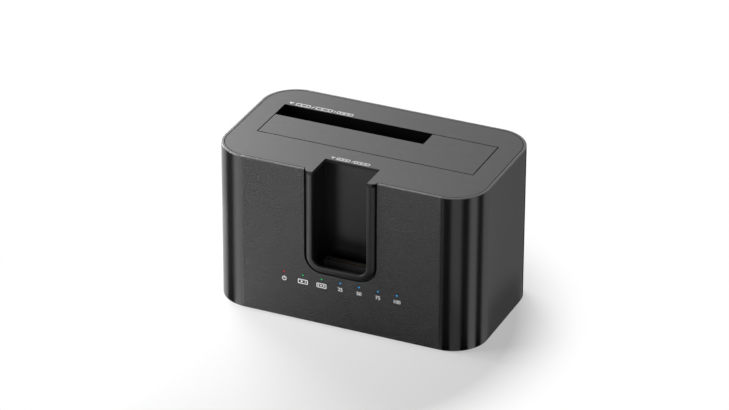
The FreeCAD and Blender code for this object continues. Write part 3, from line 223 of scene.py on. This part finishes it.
def moulded_grain():
    """Fine spark-eroded grain: fine noise for the height and broad noise for the mottling. The size
    is about how many grains stand in a metre."""
    group, given, result = new_group("moulded grain", [("Size", 900.0)], ["Height", "Mottle"])
    place = object_place(group)
    size = given.outputs["Size"]
    fine = put(group, "ShaderNodeTexNoise", Vector=place, Scale=size, Detail=3.0, Roughness=0.6)
    broad_size = maths(group, "MULTIPLY", size, BROAD_SHARE)
    broad = put(group, "ShaderNodeTexNoise", Vector=place, Scale=broad_size, Detail=2.0)
    fill(group, result, Height=fine.outputs["Fac"], Mottle=broad.outputs["Fac"])
    return group


def leather_pebbles():
    """Leather-like grain: rounded pebbles with creases between them, of uneven size and height. Broad
    noise, times the waviness over the size, moves the places at which the cells are read."""
    group, given, result = new_group("leather pebbles", [("Size", 800.0), ("Waviness", 0.5)],
                                     ["Height"])
    place = object_place(group)
    size = given.outputs["Size"]
    drift_size = maths(group, "MULTIPLY", size, DRIFT_SHARE)
    drift = put(group, "ShaderNodeTexNoise", Vector=place, Scale=drift_size, Detail=2.0)
    bend = group.nodes.new("ShaderNodeVectorMath")
    bend.operation = "SCALE"
    feed(group, drift.outputs["Color"], bend.inputs[0])
    feed(group, maths(group, "DIVIDE", given.outputs["Waviness"], size), bend.inputs["Scale"])
    moved = group.nodes.new("ShaderNodeVectorMath")
    moved.operation = "ADD"
    feed(group, place, moved.inputs[0])
    feed(group, bend.outputs[0], moved.inputs[1])
    cells = put(group, "ShaderNodeTexVoronoi", Vector=moved.outputs[0], Scale=size)
    cells.feature = "DISTANCE_TO_EDGE"
    pebble = smooth_step(group, cells.outputs["Distance"], 0.0, CREASE)
    swell = maths(group, "MULTIPLY", drift.outputs["Fac"], SWELL)
    fill(group, result, Height=maths(group, "ADD", pebble, swell))
    return group


GRAIN = moulded_grain()
PEBBLES = leather_pebbles()

# ---------------------------------------------------------------- materials

PLASTIC_SPREAD = 0.06
METAL_SPREAD = 0.1
CORNER_ROUGHNESS = 0.23
LEATHER_ROUGHNESS = 0.45
ROOM_ROUGHNESS = 0.26
BEAD_ROUGHNESS = 0.36


def plastic(name, dark, light, rough, size, depth, shine=0.5):
    """Moulded plastic: mottled colour and roughness, fine grain of a depth, and softened edges."""
    material, tree, shader = new_material(name)
    grain = use_group(tree, GRAIN, Size=size)
    fill(tree, shader,
         Base_Color=blend_colours(tree, grain["Mottle"], dark, light),
         Roughness=blend_values(tree, grain["Mottle"], rough - PLASTIC_SPREAD, rough + PLASTIC_SPREAD),
         Normal=raised(tree, grain["Height"], depth, soft_edges(tree, 0.15 * MM)),
         Specular_IOR_Level=shine)
    return material


def outward_distance(tree, place):
    """How far a place lies out from the rectangle between the middles of the round corners."""
    from_middle = maths(tree, "SUBTRACT", place["Y"], SLEEVE_MIDDLE[1])
    return length_of(tree, beyond(tree, place["X"], FLAT_HALF), beyond(tree, from_middle, END_HALF))


def sleeve_tone(tree, mottle, flat, rim, inside):
    """Black flats, blacker corners and ends, a pale rim that is a painted highlight, and an inside by the
    seam that is painted nearly lightless as shade.
    """
    rough = blend_colours(tree, mottle, colour(0.017, 0.017, 0.0175), colour(0.023, 0.023, 0.0235))
    smooth = blend_colours(tree, mottle, colour(0.004, 0.004, 0.0042), colour(0.006, 0.006, 0.0062))
    # Painted highlight: the pale colour of the rim.
    pale = blend_colours(tree, mottle, colour(0.11, 0.11, 0.112), colour(0.13, 0.13, 0.132))
    wall = blend_colours(tree, flat, smooth, rough)
    outer = blend_colours(tree, rim, wall, pale)
    # Painted shade: the nearly black colour of the inside by the seam.
    return blend_colours(tree, inside, outer, colour(0.003, 0.003, 0.003))


def sleeve_plastic():
    """Case plastic: leather-like pebbles on the long flats, smooth corners and ends, a rim on top painted
    pale as a highlight, and an inside by the seam painted nearly black as shade."""
    material, tree, shader = new_material("sleeve_black")
    place = place_parts(tree)
    # Masks for the painted shade by the seam and the painted highlight on the rim.
    inside = smooth_step(tree, outward_distance(tree, place), *SEAM_SHADE_PAINT)
    rim = smooth_step(tree, place["Z"], *RIM_HIGHLIGHT_PAINT)
    corner = smooth_step(tree, maths(tree, "ABSOLUTE", place["X"]), *SMOOTH_CORNER)
    flat = maths(tree, "SUBTRACT", 1.0, corner)
    grain = use_group(tree, GRAIN, Size=1600.0)
    pebbles = use_group(tree, PEBBLES, Size=1180.0, Waviness=0.4)
    fine = raised(tree, grain["Height"], 0.004 * MM, soft_edges(tree, 0.2 * MM))
    leather = maths(tree, "MULTIPLY", pebbles["Height"], flat)
    wall_roughness = blend_values(tree, flat, CORNER_ROUGHNESS, LEATHER_ROUGHNESS)
    fill(tree, shader,
         Base_Color=sleeve_tone(tree, grain["Mottle"], flat, rim, inside),
         Roughness=maths(tree, "MAXIMUM", wall_roughness, inside),
         Normal=raised(tree, leather, 0.15 * MM, fine))
    return material


def skinned_plastic(name, dark, light):
    """Cover plastic: a fine matt skin on top, and below it faces painted nearly black as shade, with
    painted light that makes them paler in the notch, where no other wall stands close to them. The sheen
    of the skin is its coat."""
    material, tree, shader = new_material(name)
    place = place_parts(tree)
    skin = smooth_step(tree, place["Z"], *COVER_SKIN)
    near_middle = smooth_step(tree, maths(tree, "ABSOLUTE", place["X"]), *NOTCH_SIDE)
    in_front = smooth_step(tree, place["Y"], *NOTCH_DEPTH)
    notch = maths(tree, "MULTIPLY", near_middle, in_front)
    grain = use_group(tree, GRAIN, Size=2200.0)
    top_tone = blend_colours(tree, grain["Mottle"], dark, light)
    # Painted shade below the top face, with painted light in the notch.
    painted_shade_tone = blend_colours(tree, notch, colour(0.004, 0.004, 0.004), colour(0.04, 0.04, 0.041))
    sheen = blend_values(tree, grain["Mottle"], 0.86, 0.96)
    fill(tree, shader,
         Base_Color=blend_colours(tree, skin, painted_shade_tone, top_tone),
         Coat_Weight=maths(tree, "MULTIPLY", skin, sheen),
         Normal=raised(tree, grain["Height"], 0.02 * MM, soft_edges(tree, 0.12 * MM)),
         Coat_Roughness=0.5,
         Roughness=0.7,
         Specular_IOR_Level=0.02)
    return material


def pocket_plastic():
    """Card pocket: a satin bead in front and a glossier room behind it, painted darker as the shade
    inside the pocket.
    """
    material, tree, shader = new_material("pocket_black")
    bead = smooth_step(tree, place_parts(tree)["Y"], *POCKET_BEAD)
    grain = use_group(tree, GRAIN, Size=1500.0)
    bead_tone = blend_colours(tree, grain["Mottle"], colour(0.012, 0.012, 0.0125),
                              colour(0.016, 0.016, 0.0165))
    fill(tree, shader,
         # Painted shade: the room behind the bead is darker than the bead.
         Base_Color=blend_colours(tree, bead, colour(0.007, 0.007, 0.007), bead_tone),
         Roughness=blend_values(tree, bead, ROOM_ROUGHNESS, BEAD_ROUGHNESS),
         Normal=raised(tree, grain["Height"], 0.008 * MM, soft_edges(tree, 0.15 * MM)))
    return material


def metal(name, dark, light, rough, size):
    """Plated or drawn metal, mottled in colour and finely uneven in roughness."""
    material, tree, shader = new_material(name)
    grain = use_group(tree, GRAIN, Size=size)
    fill(tree, shader,
         Base_Color=blend_colours(tree, grain["Mottle"], dark, light),
         Roughness=blend_values(tree, grain["Height"], rough - METAL_SPREAD, rough + METAL_SPREAD),
         Metallic=1.0)
    return material


def rod_distance(tree):
    """How far a point is from the axis of its own light rod. The rods stand in a row at one pitch, so
    the remainder of the place along the row counts from half a pitch before each rod."""
    place = place_parts(tree)
    along = maths(tree, "SUBTRACT", place["X"], LIGHT_FIRST - LIGHT_PITCH / 2)
    across = maths(tree, "SUBTRACT", maths(tree, "MODULO", along, LIGHT_PITCH), LIGHT_PITCH / 2)
    above = maths(tree, "SUBTRACT", place["Z"], LIGHT_HEIGHT)
    return length_of(tree, across, above)


def lit_rod(name, rim, heart, glow):
    """A clear rod lit from behind: a bright heart in a dark rim."""
    material, tree, shader = new_material(name)
    core = smooth_step(tree, rod_distance(tree), *ROD_HEART)
    grain = use_group(tree, GRAIN, Size=1500.0)
    uneven = blend_values(tree, grain["Mottle"], 0.85, 1.0)
    tone = blend_colours(tree, maths(tree, "MULTIPLY", core, uneven), rim, heart)
    fill(tree, shader, Base_Color=tone, Emission_Color=tone, Emission_Strength=glow, Roughness=0.25)
    return material


def dress(node, material):
    """Gives a CAD node its one material."""
    mesh = cad[node].data
    mesh.materials.clear()
    mesh.materials.append(material)


FEET = ["foot_" + corner for corner in ("front_left", "front_right", "back_right", "back_left")]
PIPES = ["light_pipe_%d" % number for number in range(1, LIGHT_COUNT + 1)]

# Painted shade: the drive well is painted nearly lightless and without shine, as the shade inside the
# slot; the base cover takes the same colour.
well_black = plastic("well_black", colour(0.003, 0.003, 0.003), colour(0.005, 0.005, 0.005),
                     0.7, 1500.0, 0.02 * MM, shine=0.02)
foot_rubber = plastic("foot_rubber", colour(0.014, 0.014, 0.014), colour(0.024, 0.024, 0.024),
                      0.75, 1800.0, 0.05 * MM)
board_green = plastic("board_green", colour(0.01, 0.09, 0.045), colour(0.015, 0.13, 0.06),
                      0.35, 600.0, 0.01 * MM)
socket_black = plastic("socket_black", colour(0.012, 0.012, 0.013), colour(0.018, 0.018, 0.019),
                       0.5, 2600.0, 0.01 * MM)
control_black = plastic("control_black", colour(0.02, 0.02, 0.021), colour(0.028, 0.028, 0.029),
                        0.4, 2200.0, 0.02 * MM)
stem_white = plastic("stem_white", colour(0.66, 0.66, 0.62), colour(0.74, 0.74, 0.70),
                     0.4, 1500.0, 0.01 * MM)
chip_black = plastic("chip_black", colour(0.02, 0.02, 0.02), colour(0.032, 0.032, 0.032),
                     0.55, 3000.0, 0.02 * MM)
tongue_black = plastic("tongue_black", colour(0.01, 0.01, 0.01), colour(0.014, 0.014, 0.014),
                       0.4, 2500.0, 0.01 * MM)
led_white = plastic("led_white", colour(0.75, 0.72, 0.55), colour(0.85, 0.82, 0.66),
                    0.3, 2500.0, 0.005 * MM)
cover_black = skinned_plastic("cover_black", colour(0.028, 0.028, 0.029), colour(0.034, 0.034, 0.035))
door_black = skinned_plastic("door_black", colour(0.027, 0.027, 0.028), colour(0.033, 0.033, 0.034))
contact_gold = metal("contact_gold", colour(0.75, 0.50, 0.16), colour(0.90, 0.66, 0.28), 0.3, 2500.0)
bright_metal = metal("bright_metal", colour(0.62, 0.62, 0.63), colour(0.78, 0.78, 0.79), 0.28, 1800.0)
spring_steel = metal("spring_steel", colour(0.42, 0.42, 0.43), colour(0.58, 0.58, 0.59), 0.3, 2200.0)
screw_steel = metal("screw_steel", colour(0.30, 0.30, 0.31), colour(0.44, 0.44, 0.46), 0.4, 2000.0)
light_red = lit_rod("light_red", colour(0.05, 0.0, 0.0), colour(0.45, 0.02, 0.03), 0.9)
light_green = lit_rod("light_green", colour(0.0, 0.03, 0.01), colour(0.03, 0.42, 0.09), 0.8)
light_blue = lit_rod("light_blue", colour(0.0, 0.02, 0.06), colour(0.08, 0.42, 0.80), 0.6)

FINISHES = [
    (sleeve_plastic(), ["outer_sleeve"]),
    (cover_black, ["top_cover"]),
    (door_black, ["drive_door"]),
    (well_black, ["drive_well", "base_cover"]),
    (pocket_plastic(), ["card_pocket"]),
    (foot_rubber, FEET),
    (board_green, ["main_board"]),
    (socket_black, ["sata_socket", "card_socket", "power_inlet", "switch_frame"]),
    (control_black, ["power_rocker", "copy_button"]),
    (stem_white, ["button_stem"]),
    (chip_black, ["drive_bridge", "card_bridge", "memory_chip", "inductors", "push_switch"]),
    (contact_gold, ["sata_contacts", "card_contacts"]),
    (bright_metal, ["usb_shell", "inlet_pin", "crystals", "capacitors"]),
    (tongue_black, ["usb_tongue"]),
    (spring_steel, ["door_pin", "door_spring"]),
    (screw_steel, ["cover_screws", "base_screws", "well_screws", "board_screws"]),
    (light_red, PIPES[:1]),
    (light_green, PIPES[1:3]),
    (light_blue, PIPES[3:]),
    (led_white, ["status_leds"]),
]
for finish, names in FINISHES:
    for name in names:
        dress(name, finish)

# ---------------------------------------------------------------- printed marks

# The marks are drawn in millimetres in their own plane: across, up and out.
INK = 0.03
LINE = 0.4
TOP_LINE = 0.58
MARK_HEIGHT = 1.9
MARK_LENGTH = 4.4
POWER_SIZE = 2.2
NUMBER_HEIGHT = 1.8
FIGURE_SHARE = 0.73
BOLDER = 0.02

PRINT_ROOM = 0.01 * MM
ROW = LIGHT_HEIGHT - 3.2 * MM
SLOT_ROW = SLOT_BACK + 2.3 * MM
NOTCH_ROW = NOTCH_BACK + 2.0 * MM


def ink(name, level):
    """White ink of a slightly uneven thickness."""
    material, tree, shader = new_material(name)
    grain = use_group(tree, GRAIN, Size=2500.0)
    thin, full = level * 0.88, level * 1.08
    tone = blend_colours(tree, grain["Mottle"], colour(thin, thin, thin), colour(full, full, full))
    fill(tree, shader, Base_Color=tone, Roughness=0.6)
    return material


FRONT_INK = ink("front_ink", 0.9)
TOP_INK = ink("top_ink", 0.92)


def on_front(x, z):
    """Stands a mark's plane on the sleeve's front face."""
    return Matrix.Translation((x, FRONT - PRINT_ROOM, z)) @ Matrix.Rotation(math.pi / 2, 4, "X")


def on_top(x, y):
    """Lays a mark's plane on the cover."""
    return Matrix.Translation((x, y, TOP + PRINT_ROOM))


def place_mark(name, points, faces, stand, print_ink):
    """One printed mark from points in millimetres, put on a face and carried by the case."""
    places = np.asarray(points, float) * MM
    turn = np.array(stand)
    mesh = bpy.data.meshes.new(name)
    mesh.from_pydata((places @ turn[:3, :3].T + turn[:3, 3]).tolist(), [], faces)
    mesh.materials.append(print_ink)
    mark = bpy.data.objects.new(name, mesh)
    bpy.context.scene.collection.objects.link(mark)
    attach(mark, "case")


def bar(path, width, closed=False):
    """A flat bar along a path: the four corners of its section stand half the width to each side
    of the path, at the face and at the thickness of the ink."""
    path = np.asarray(path, float)
    if closed:
        ahead = np.roll(path, -1, axis=0) - np.roll(path, 1, axis=0)
    else:
        ahead = np.gradient(path, axis=0)
    ahead /= np.linalg.norm(ahead, axis=1)[:, None]
    side = np.stack([-ahead[:, 1], ahead[:, 0]], axis=1) * width / 2
    left, right = path + side, path - side
    low = np.zeros((len(path), 1))
    high = low + INK
    section = [np.hstack([left, low]), np.hstack([left, high]),
               np.hstack([right, high]), np.hstack([right, low])]
    points = np.stack(section, axis=1).reshape(-1, 3)
    count = len(path)
    first = np.arange(count if closed else count - 1)[:, None]
    corner = np.arange(4)[None, :]
    following = (first + 1) % count
    after = (corner + 1) % 4
    quads = np.stack([first * 4 + after, following * 4 + after, following * 4 + corner,
                      first * 4 + corner], axis=-1).reshape(-1, 4)
    faces = [tuple(quad) for quad in quads.tolist()]
    if not closed:
        last = (count - 1) * 4
        faces += [(3, 2, 1, 0), (last, last + 1, last + 2, last + 3)]
    return points, faces


def plate(outline):
    """A flat plate: its outline, given counter-clockwise, moved through the thickness of the ink."""
    outline = np.asarray(outline, float)
    count = len(outline)
    low = np.hstack([outline, np.zeros((count, 1))])
    high = low + (0, 0, INK)
    first = np.arange(count)
    following = (first + 1) % count
    sides = np.stack([first, following, count + following, count + first], axis=1)
    faces = [tuple(range(count - 1, -1, -1)), tuple(range(count, 2 * count))]
    faces += [tuple(side) for side in sides.tolist()]
    return np.vstack([low, high]), faces


def joined(shapes):
    """Several shapes as one list of points and one of faces."""
    points, faces = [], []
    for some_points, some_faces in shapes:
        shift = sum(len(block) for block in points)
        points.append(some_points)
        faces += [tuple(shift + index for index in face) for face in some_faces]
    return np.vstack(points), faces


def arc(middle, radius, start, end, steps):
    """Points on a circle: the middle plus the radius times the cosine and sine of even steps."""
    angle = np.radians(np.linspace(start, end, steps))
    return np.stack([middle[0] + radius * np.cos(angle), middle[1] + radius * np.sin(angle)], axis=1)


def round_box(middle, length, height, corner):
    """The outline of a box with round corners, counter-clockwise: one quarter arc a corner."""
    across, up = length / 2 - corner, height / 2 - corner
    corners = [(across, up, 0), (-across, up, 90), (-across, -up, 180), (across, -up, 270)]
    return np.vstack([arc((middle[0] + x, middle[1] + y), corner, turn, turn + 90, 5)
                      for x, y, turn in corners])


def upright(middle, reach, line):
    """A short upright bar that reaches as far up as down."""
    x, y = middle
    return bar([(x, y - reach), (x, y + reach)], line)


def arrow_mark(middle, size):
    """A triangle that points down."""
    x, y = middle
    return plate([(x, y - size / 2), (x + size * 0.6, y + size / 2), (x - size * 0.6, y + size / 2)])


def drive_mark(middle, length, height, line):
    """A drive seen from above: its outline, its disc and its arm."""
    x, y = middle
    return joined([
        bar(round_box(middle, length, height, 0.25), line, closed=True),
        plate(arc((x - length * 0.14, y), height * 0.26, 0, 345, 24)),
        upright((x + length * 0.26, y), height * 0.2, line),
    ])


def card_mark(middle, length, height, line):
    """A memory card: its outline, the row of contacts at its end and two chips."""
    x, y = middle
    chips = [plate(round_box((x + shift * length, y), length * 0.18, height * 0.36, 0.1))
             for shift in (-0.06, 0.24)]
    return joined([
        bar(round_box(middle, length, height, 0.2), line, closed=True),
        upright((x - length * 0.32, y), height * 0.3, line),
    ] + chips)


def power_mark(size, line):
    """An open ring with an upright bar in its gap."""
    return joined([
        bar(arc((0, -size * 0.08), size * 0.42, 120, 420, 24), line),
        bar([(0, 0), (0, size * 0.5)], line),
    ])


def number_mark(name, number, height, stand):
    """A plain number in Blender's own typeface, turned to a mesh before it is placed."""
    curve = bpy.data.curves.new(name, "FONT")
    curve.body = str(number)
    curve.size = height / FIGURE_SHARE
    curve.align_x = "CENTER"
    curve.align_y = "CENTER"
    curve.resolution_u = 3
    curve.extrude = INK / 2
    curve.offset = height * BOLDER
    holder = bpy.data.objects.new(name + "_line", curve)
    bpy.context.scene.collection.objects.link(holder)
    bpy.context.view_layer.update()
    shape = holder.evaluated_get(bpy.context.evaluated_depsgraph_get()).to_mesh()
    points = np.empty(len(shape.vertices) * 3)
    shape.vertices.foreach_get("co", points)
    faces = [tuple(face.vertices) for face in shape.polygons]
    bpy.data.objects.remove(holder)
    place_mark(name, points.reshape(-1, 3), faces, stand, FRONT_INK)


def front_marks():
    """Under the row of lights: power, drive, card and the four shares of a copy in per cent."""
    places = [on_front(LIGHT_FIRST + number * LIGHT_PITCH, ROW) for number in range(LIGHT_COUNT)]
    signs = [
        ("mark_power", power_mark(POWER_SIZE, LINE)),
        ("mark_drive", drive_mark((0, 0), MARK_LENGTH, MARK_HEIGHT, LINE)),
        ("mark_card", card_mark((0, 0), MARK_LENGTH, MARK_HEIGHT, LINE)),
    ]
    for (name, shape), place in zip(signs, places):
        place_mark(name, *shape, place, FRONT_INK)
    for share, place in zip((25, 50, 75, 100), places[len(signs):]):
        number_mark("mark_%d" % share, share, NUMBER_HEIGHT, place)


def slot_mark():
    """Behind the slot, from its left end: an arrow, a small drive, a large drive and a card."""
    shape = joined([
        arrow_mark((2.4, 0), 2.1),
        drive_mark((8.2, 0), 6.6, 2.0, TOP_LINE),
        bar([(12.6, -1.0), (13.6, 1.0)], TOP_LINE),
        drive_mark((18.6, 0), 7.8, 2.0, TOP_LINE),
        upright((23.8, 0), 0.9, TOP_LINE),
        card_mark((28.8, 0), 7.4, 1.8, TOP_LINE),
    ])
    place_mark("mark_slot", *shape, on_top(SLOT_LEFT, SLOT_ROW), TOP_INK)


def pocket_mark():
    """Behind the notch: an arrow and two lengths of card."""
    shape = joined([
        arrow_mark((-10.3, 0), 1.9),
        card_mark((-5.3, 0), 6.0, 1.7, TOP_LINE),
        bar([(-1.2, -0.8), (-0.4, 0.8)], TOP_LINE),
        card_mark((3.6, 0), 7.0, 1.7, TOP_LINE),
    ])
    place_mark("mark_pocket", *shape, on_top(0.0, NOTCH_ROW), TOP_INK)


front_marks()
slot_mark()
pocket_mark()

# ---------------------------------------------------------------- studio

CAMERA_AZIMUTH = 23.9
CAMERA_ELEVATION = 27.79
CAMERA_ROLL = 0.23
CAMERA_PLACE = Vector((-3.88, 39.69, 1751.07)) * MM
CAMERA_LENS = 192.11
SENSOR_WIDTH = 36.0

FLOOR_HALF = 2.0
FLOOR_LEVEL = -0.02 * MM
OWN_WHITE = 0.45
SHADOW_MIDDLE = (-0.03, -0.03, 0.0)
SHADOW_FADE = (0.073, 0.138)

PAPER_LEVEL = 0.2 * MM
PAPER_REACH = 0.35
FOOT_LEVEL = 0.4 * MM
FOOT_REACH = 0.03
FRONT_FADE = (-0.065, 0.01)
RIGHT_END = 8.0

# Which corner, the two outward normals between which it mirrors the paper, and the paper's brightness.
CORNER_PAPERS = [
    ("left", -125.5, -109.5, 0.0),
    ("left", -106.0, -94.0, 2.4),
    ("right", -84.5, -71.5, 0.0),
    ("right", -55.5, -43.0, 0.0),
    ("right", -42.5, -30.5, 1.5),
    ("right", -29.5, -18.0, 0.0),
    ("right", -18.0, -8.0, 0.75),
    ("right", -8.0, 0.0, 0.48),
    ("back", RIGHT_END, 25.0, 0.0),
]


def sees_background(tree):
    """1 for the camera's rays and for those reflected or let through by the object."""
    ray = tree.nodes.new("ShaderNodeLightPath").outputs
    mirrored = maths(tree, "MAXIMUM", ray["Is Glossy Ray"], ray["Is Transmission Ray"])
    return maths(tree, "MAXIMUM", ray["Is Camera Ray"], mirrored)


def studio_world():
    """White where it is seen. It casts no light on the object."""
    world = bpy.data.worlds.new("studio")
    world.use_nodes = True
    tree = world.node_tree
    tree.nodes.clear()
    dark = put(tree, "ShaderNodeBackground", Color=WHITE, Strength=0.0)
    white = put(tree, "ShaderNodeBackground", Color=WHITE, Strength=1.0)
    shade = blend_shaders(tree, sees_background(tree), dark.outputs[0], white.outputs[0])
    put(tree, "ShaderNodeOutputWorld", Surface=shade)
    bpy.context.scene.world = world


def flat_sheet(name, outline, level, material):
    """A flat stage piece, level with the floor and one face thick."""
    mesh = bpy.data.meshes.new(name)
    mesh.from_pydata([(x, y, level) for x, y in outline], [], [tuple(range(len(outline)))])
    mesh.materials.append(material)
    sheet = bpy.data.objects.new(name, mesh)
    bpy.context.scene.collection.objects.link(sheet)
    return sheet


def pale_floor():
    """A square floor: partly white of its own, which softens the shadow, and wholly so far out."""
    material, tree, shader = new_material("floor_white")
    fill(tree, shader, Base_Color=colour(0.93, 0.93, 0.93), Roughness=0.9, Specular_IOR_Level=0.0)
    reach = tree.nodes.new("ShaderNodeVectorMath")
    reach.operation = "DISTANCE"
    feed(tree, object_place(tree), reach.inputs[0])
    feed(tree, SHADOW_MIDDLE, reach.inputs[1])
    far_out = smooth_step(tree, reach.outputs["Value"], *SHADOW_FADE)
    softened = maths(tree, "MULTIPLY", sees_background(tree), OWN_WHITE)
    share = maths(tree, "MAXIMUM", far_out, softened)
    white = put(tree, "ShaderNodeEmission", Color=WHITE, Strength=1.0)
    shade = blend_shaders(tree, share, shader.outputs[0], white.outputs[0])
    feed(tree, shade, tree.nodes["Material Output"].inputs["Surface"])
    corners = [(-FLOOR_HALF, -FLOOR_HALF), (FLOOR_HALF, -FLOOR_HALF),
               (FLOOR_HALF, FLOOR_HALF), (-FLOOR_HALF, FLOOR_HALF)]
    flat_sheet("floor", corners, FLOOR_LEVEL, material)


def corner_ray(corner, normal, reach):
    """Where a corner with this outward normal mirrors the camera: along the floor, from the foot of
    the corner, at twice the normal's angle less the camera's."""
    angle = math.radians(normal)
    start = Vector(corner) + Vector((math.cos(angle), math.sin(angle))) * CORNER_RADIUS
    mirrored = math.radians(2 * normal + 90 - CAMERA_AZIMUTH)
    return start, start + Vector((math.cos(mirrored), math.sin(mirrored))) * reach


def fan(first_corner, first, last_corner, last, reach):
    """The floor between the rays that two places on the sleeve's outline mirror."""
    start, far = corner_ray(first_corner, first, reach)
    end, end_far = corner_ray(last_corner, last, reach)
    return [start, far, end_far, end]


def paper(name, outline, brightness, level=PAPER_LEVEL, fade=None):
    """A sheet of paper just above the floor, seen only in the object's reflections. A fade holds two
    places along X: the sheet is bright up to the first and dark from the second."""
    material, tree, shader = new_material(name)
    fill(tree, shader, Base_Color=BLACK, Specular_IOR_Level=0.0, Emission_Color=WHITE,
         Emission_Strength=brightness)
    if fade:
        dark = smooth_step(tree, place_parts(tree)["X"], *fade)
        fill(tree, shader, Emission_Color=blend_colours(tree, dark, WHITE, BLACK))
    sheet = flat_sheet(name, outline, level, material)
    sheet.visible_camera = False
    sheet.visible_diffuse = False
    sheet.visible_shadow = False


def papers():
    """Papers round the foot of the sleeve, which its glossy walls mirror as dark and pale bands."""
    right = SLEEVE_HIGH[0] - CORNER_RADIUS
    front = SLEEVE_LOW[1] + CORNER_RADIUS
    corners = {
        "left": (SLEEVE_LOW[0] + CORNER_RADIUS, front),
        "right": (right, front),
        "back": (right, SLEEVE_HIGH[1] - CORNER_RADIUS),
    }
    for number, (place, first, last, brightness) in enumerate(CORNER_PAPERS):
        corner = corners[place]
        paper("paper_corner_%d" % number, fan(corner, first, corner, last, PAPER_REACH), brightness)
    along_front = fan(corners["left"], -90, corners["right"], -90, PAPER_REACH)
    along_right = fan(corners["right"], 0, corners["back"], RIGHT_END, PAPER_REACH)
    at_right_foot = fan(corners["right"], 0, corners["back"], 0, FOOT_REACH)
    paper("paper_front", along_front, brightness=1.0, fade=FRONT_FADE)
    paper("paper_right", along_right, brightness=0.34)
    paper("paper_foot", at_right_foot, brightness=0.2, level=FOOT_LEVEL)


def area_light(name, place, aim, width, height, power):
    """A rectangular lamp that faces a point."""
    lamp = bpy.data.lights.new(name, "AREA")
    lamp.shape = "RECTANGLE"
    lamp.size, lamp.size_y = width, height
    lamp.energy = power
    holder = bpy.data.objects.new(name, lamp)
    place, aim = Vector(place), Vector(aim)
    turn = (place - aim).to_track_quat("Z", "Y")
    holder.matrix_world = Matrix.Translation(place) @ turn.to_matrix().to_4x4()
    bpy.context.scene.collection.objects.link(holder)
    return holder


def lights():
    """Two windows at the left, in front and behind, and a strip low at the left, kept out of the
    reflections."""
    middle = (0, 0, 0.04)
    front_face = (0, -0.036, 0.05)
    area_light("left_window", (-0.45, -0.28, 0.22), middle, width=0.25, height=0.25, power=2.2)
    strip = area_light("left_strip", (-0.40, -0.055, 0.05), front_face, width=0.10, height=0.12,
                       power=3.5)
    strip.visible_glossy = False
    area_light("back_window", (-0.55, 0.45, 0.40), middle, width=0.4, height=0.4, power=5.4)


def camera():
    """A long lens, placed from the middle of the sleeve's footprint."""
    azimuth, elevation, roll = np.radians((CAMERA_AZIMUTH, CAMERA_ELEVATION, CAMERA_ROLL))
    turn = (Matrix.Rotation(azimuth, 4, "Z") @ Matrix.Rotation(math.pi / 2 - elevation, 4, "X")
            @ Matrix.Rotation(roll, 4, "Z"))
    footprint = Matrix.Translation((0.0, SLEEVE_MIDDLE[1], 0.0))
    data = bpy.data.cameras.new("camera")
    data.lens = CAMERA_LENS
    data.sensor_width = SENSOR_WIDTH
    data.clip_start = 0.1
    data.clip_end = 20.0
    holder = bpy.data.objects.new("camera", data)
    holder.matrix_world = footprint @ turn @ Matrix.Translation(CAMERA_PLACE)
    bpy.context.scene.collection.objects.link(holder)
    bpy.context.scene.camera = holder


studio_world()
pale_floor()
papers()
lights()
camera()
bpy.context.scene.view_settings.view_transform = "Standard"
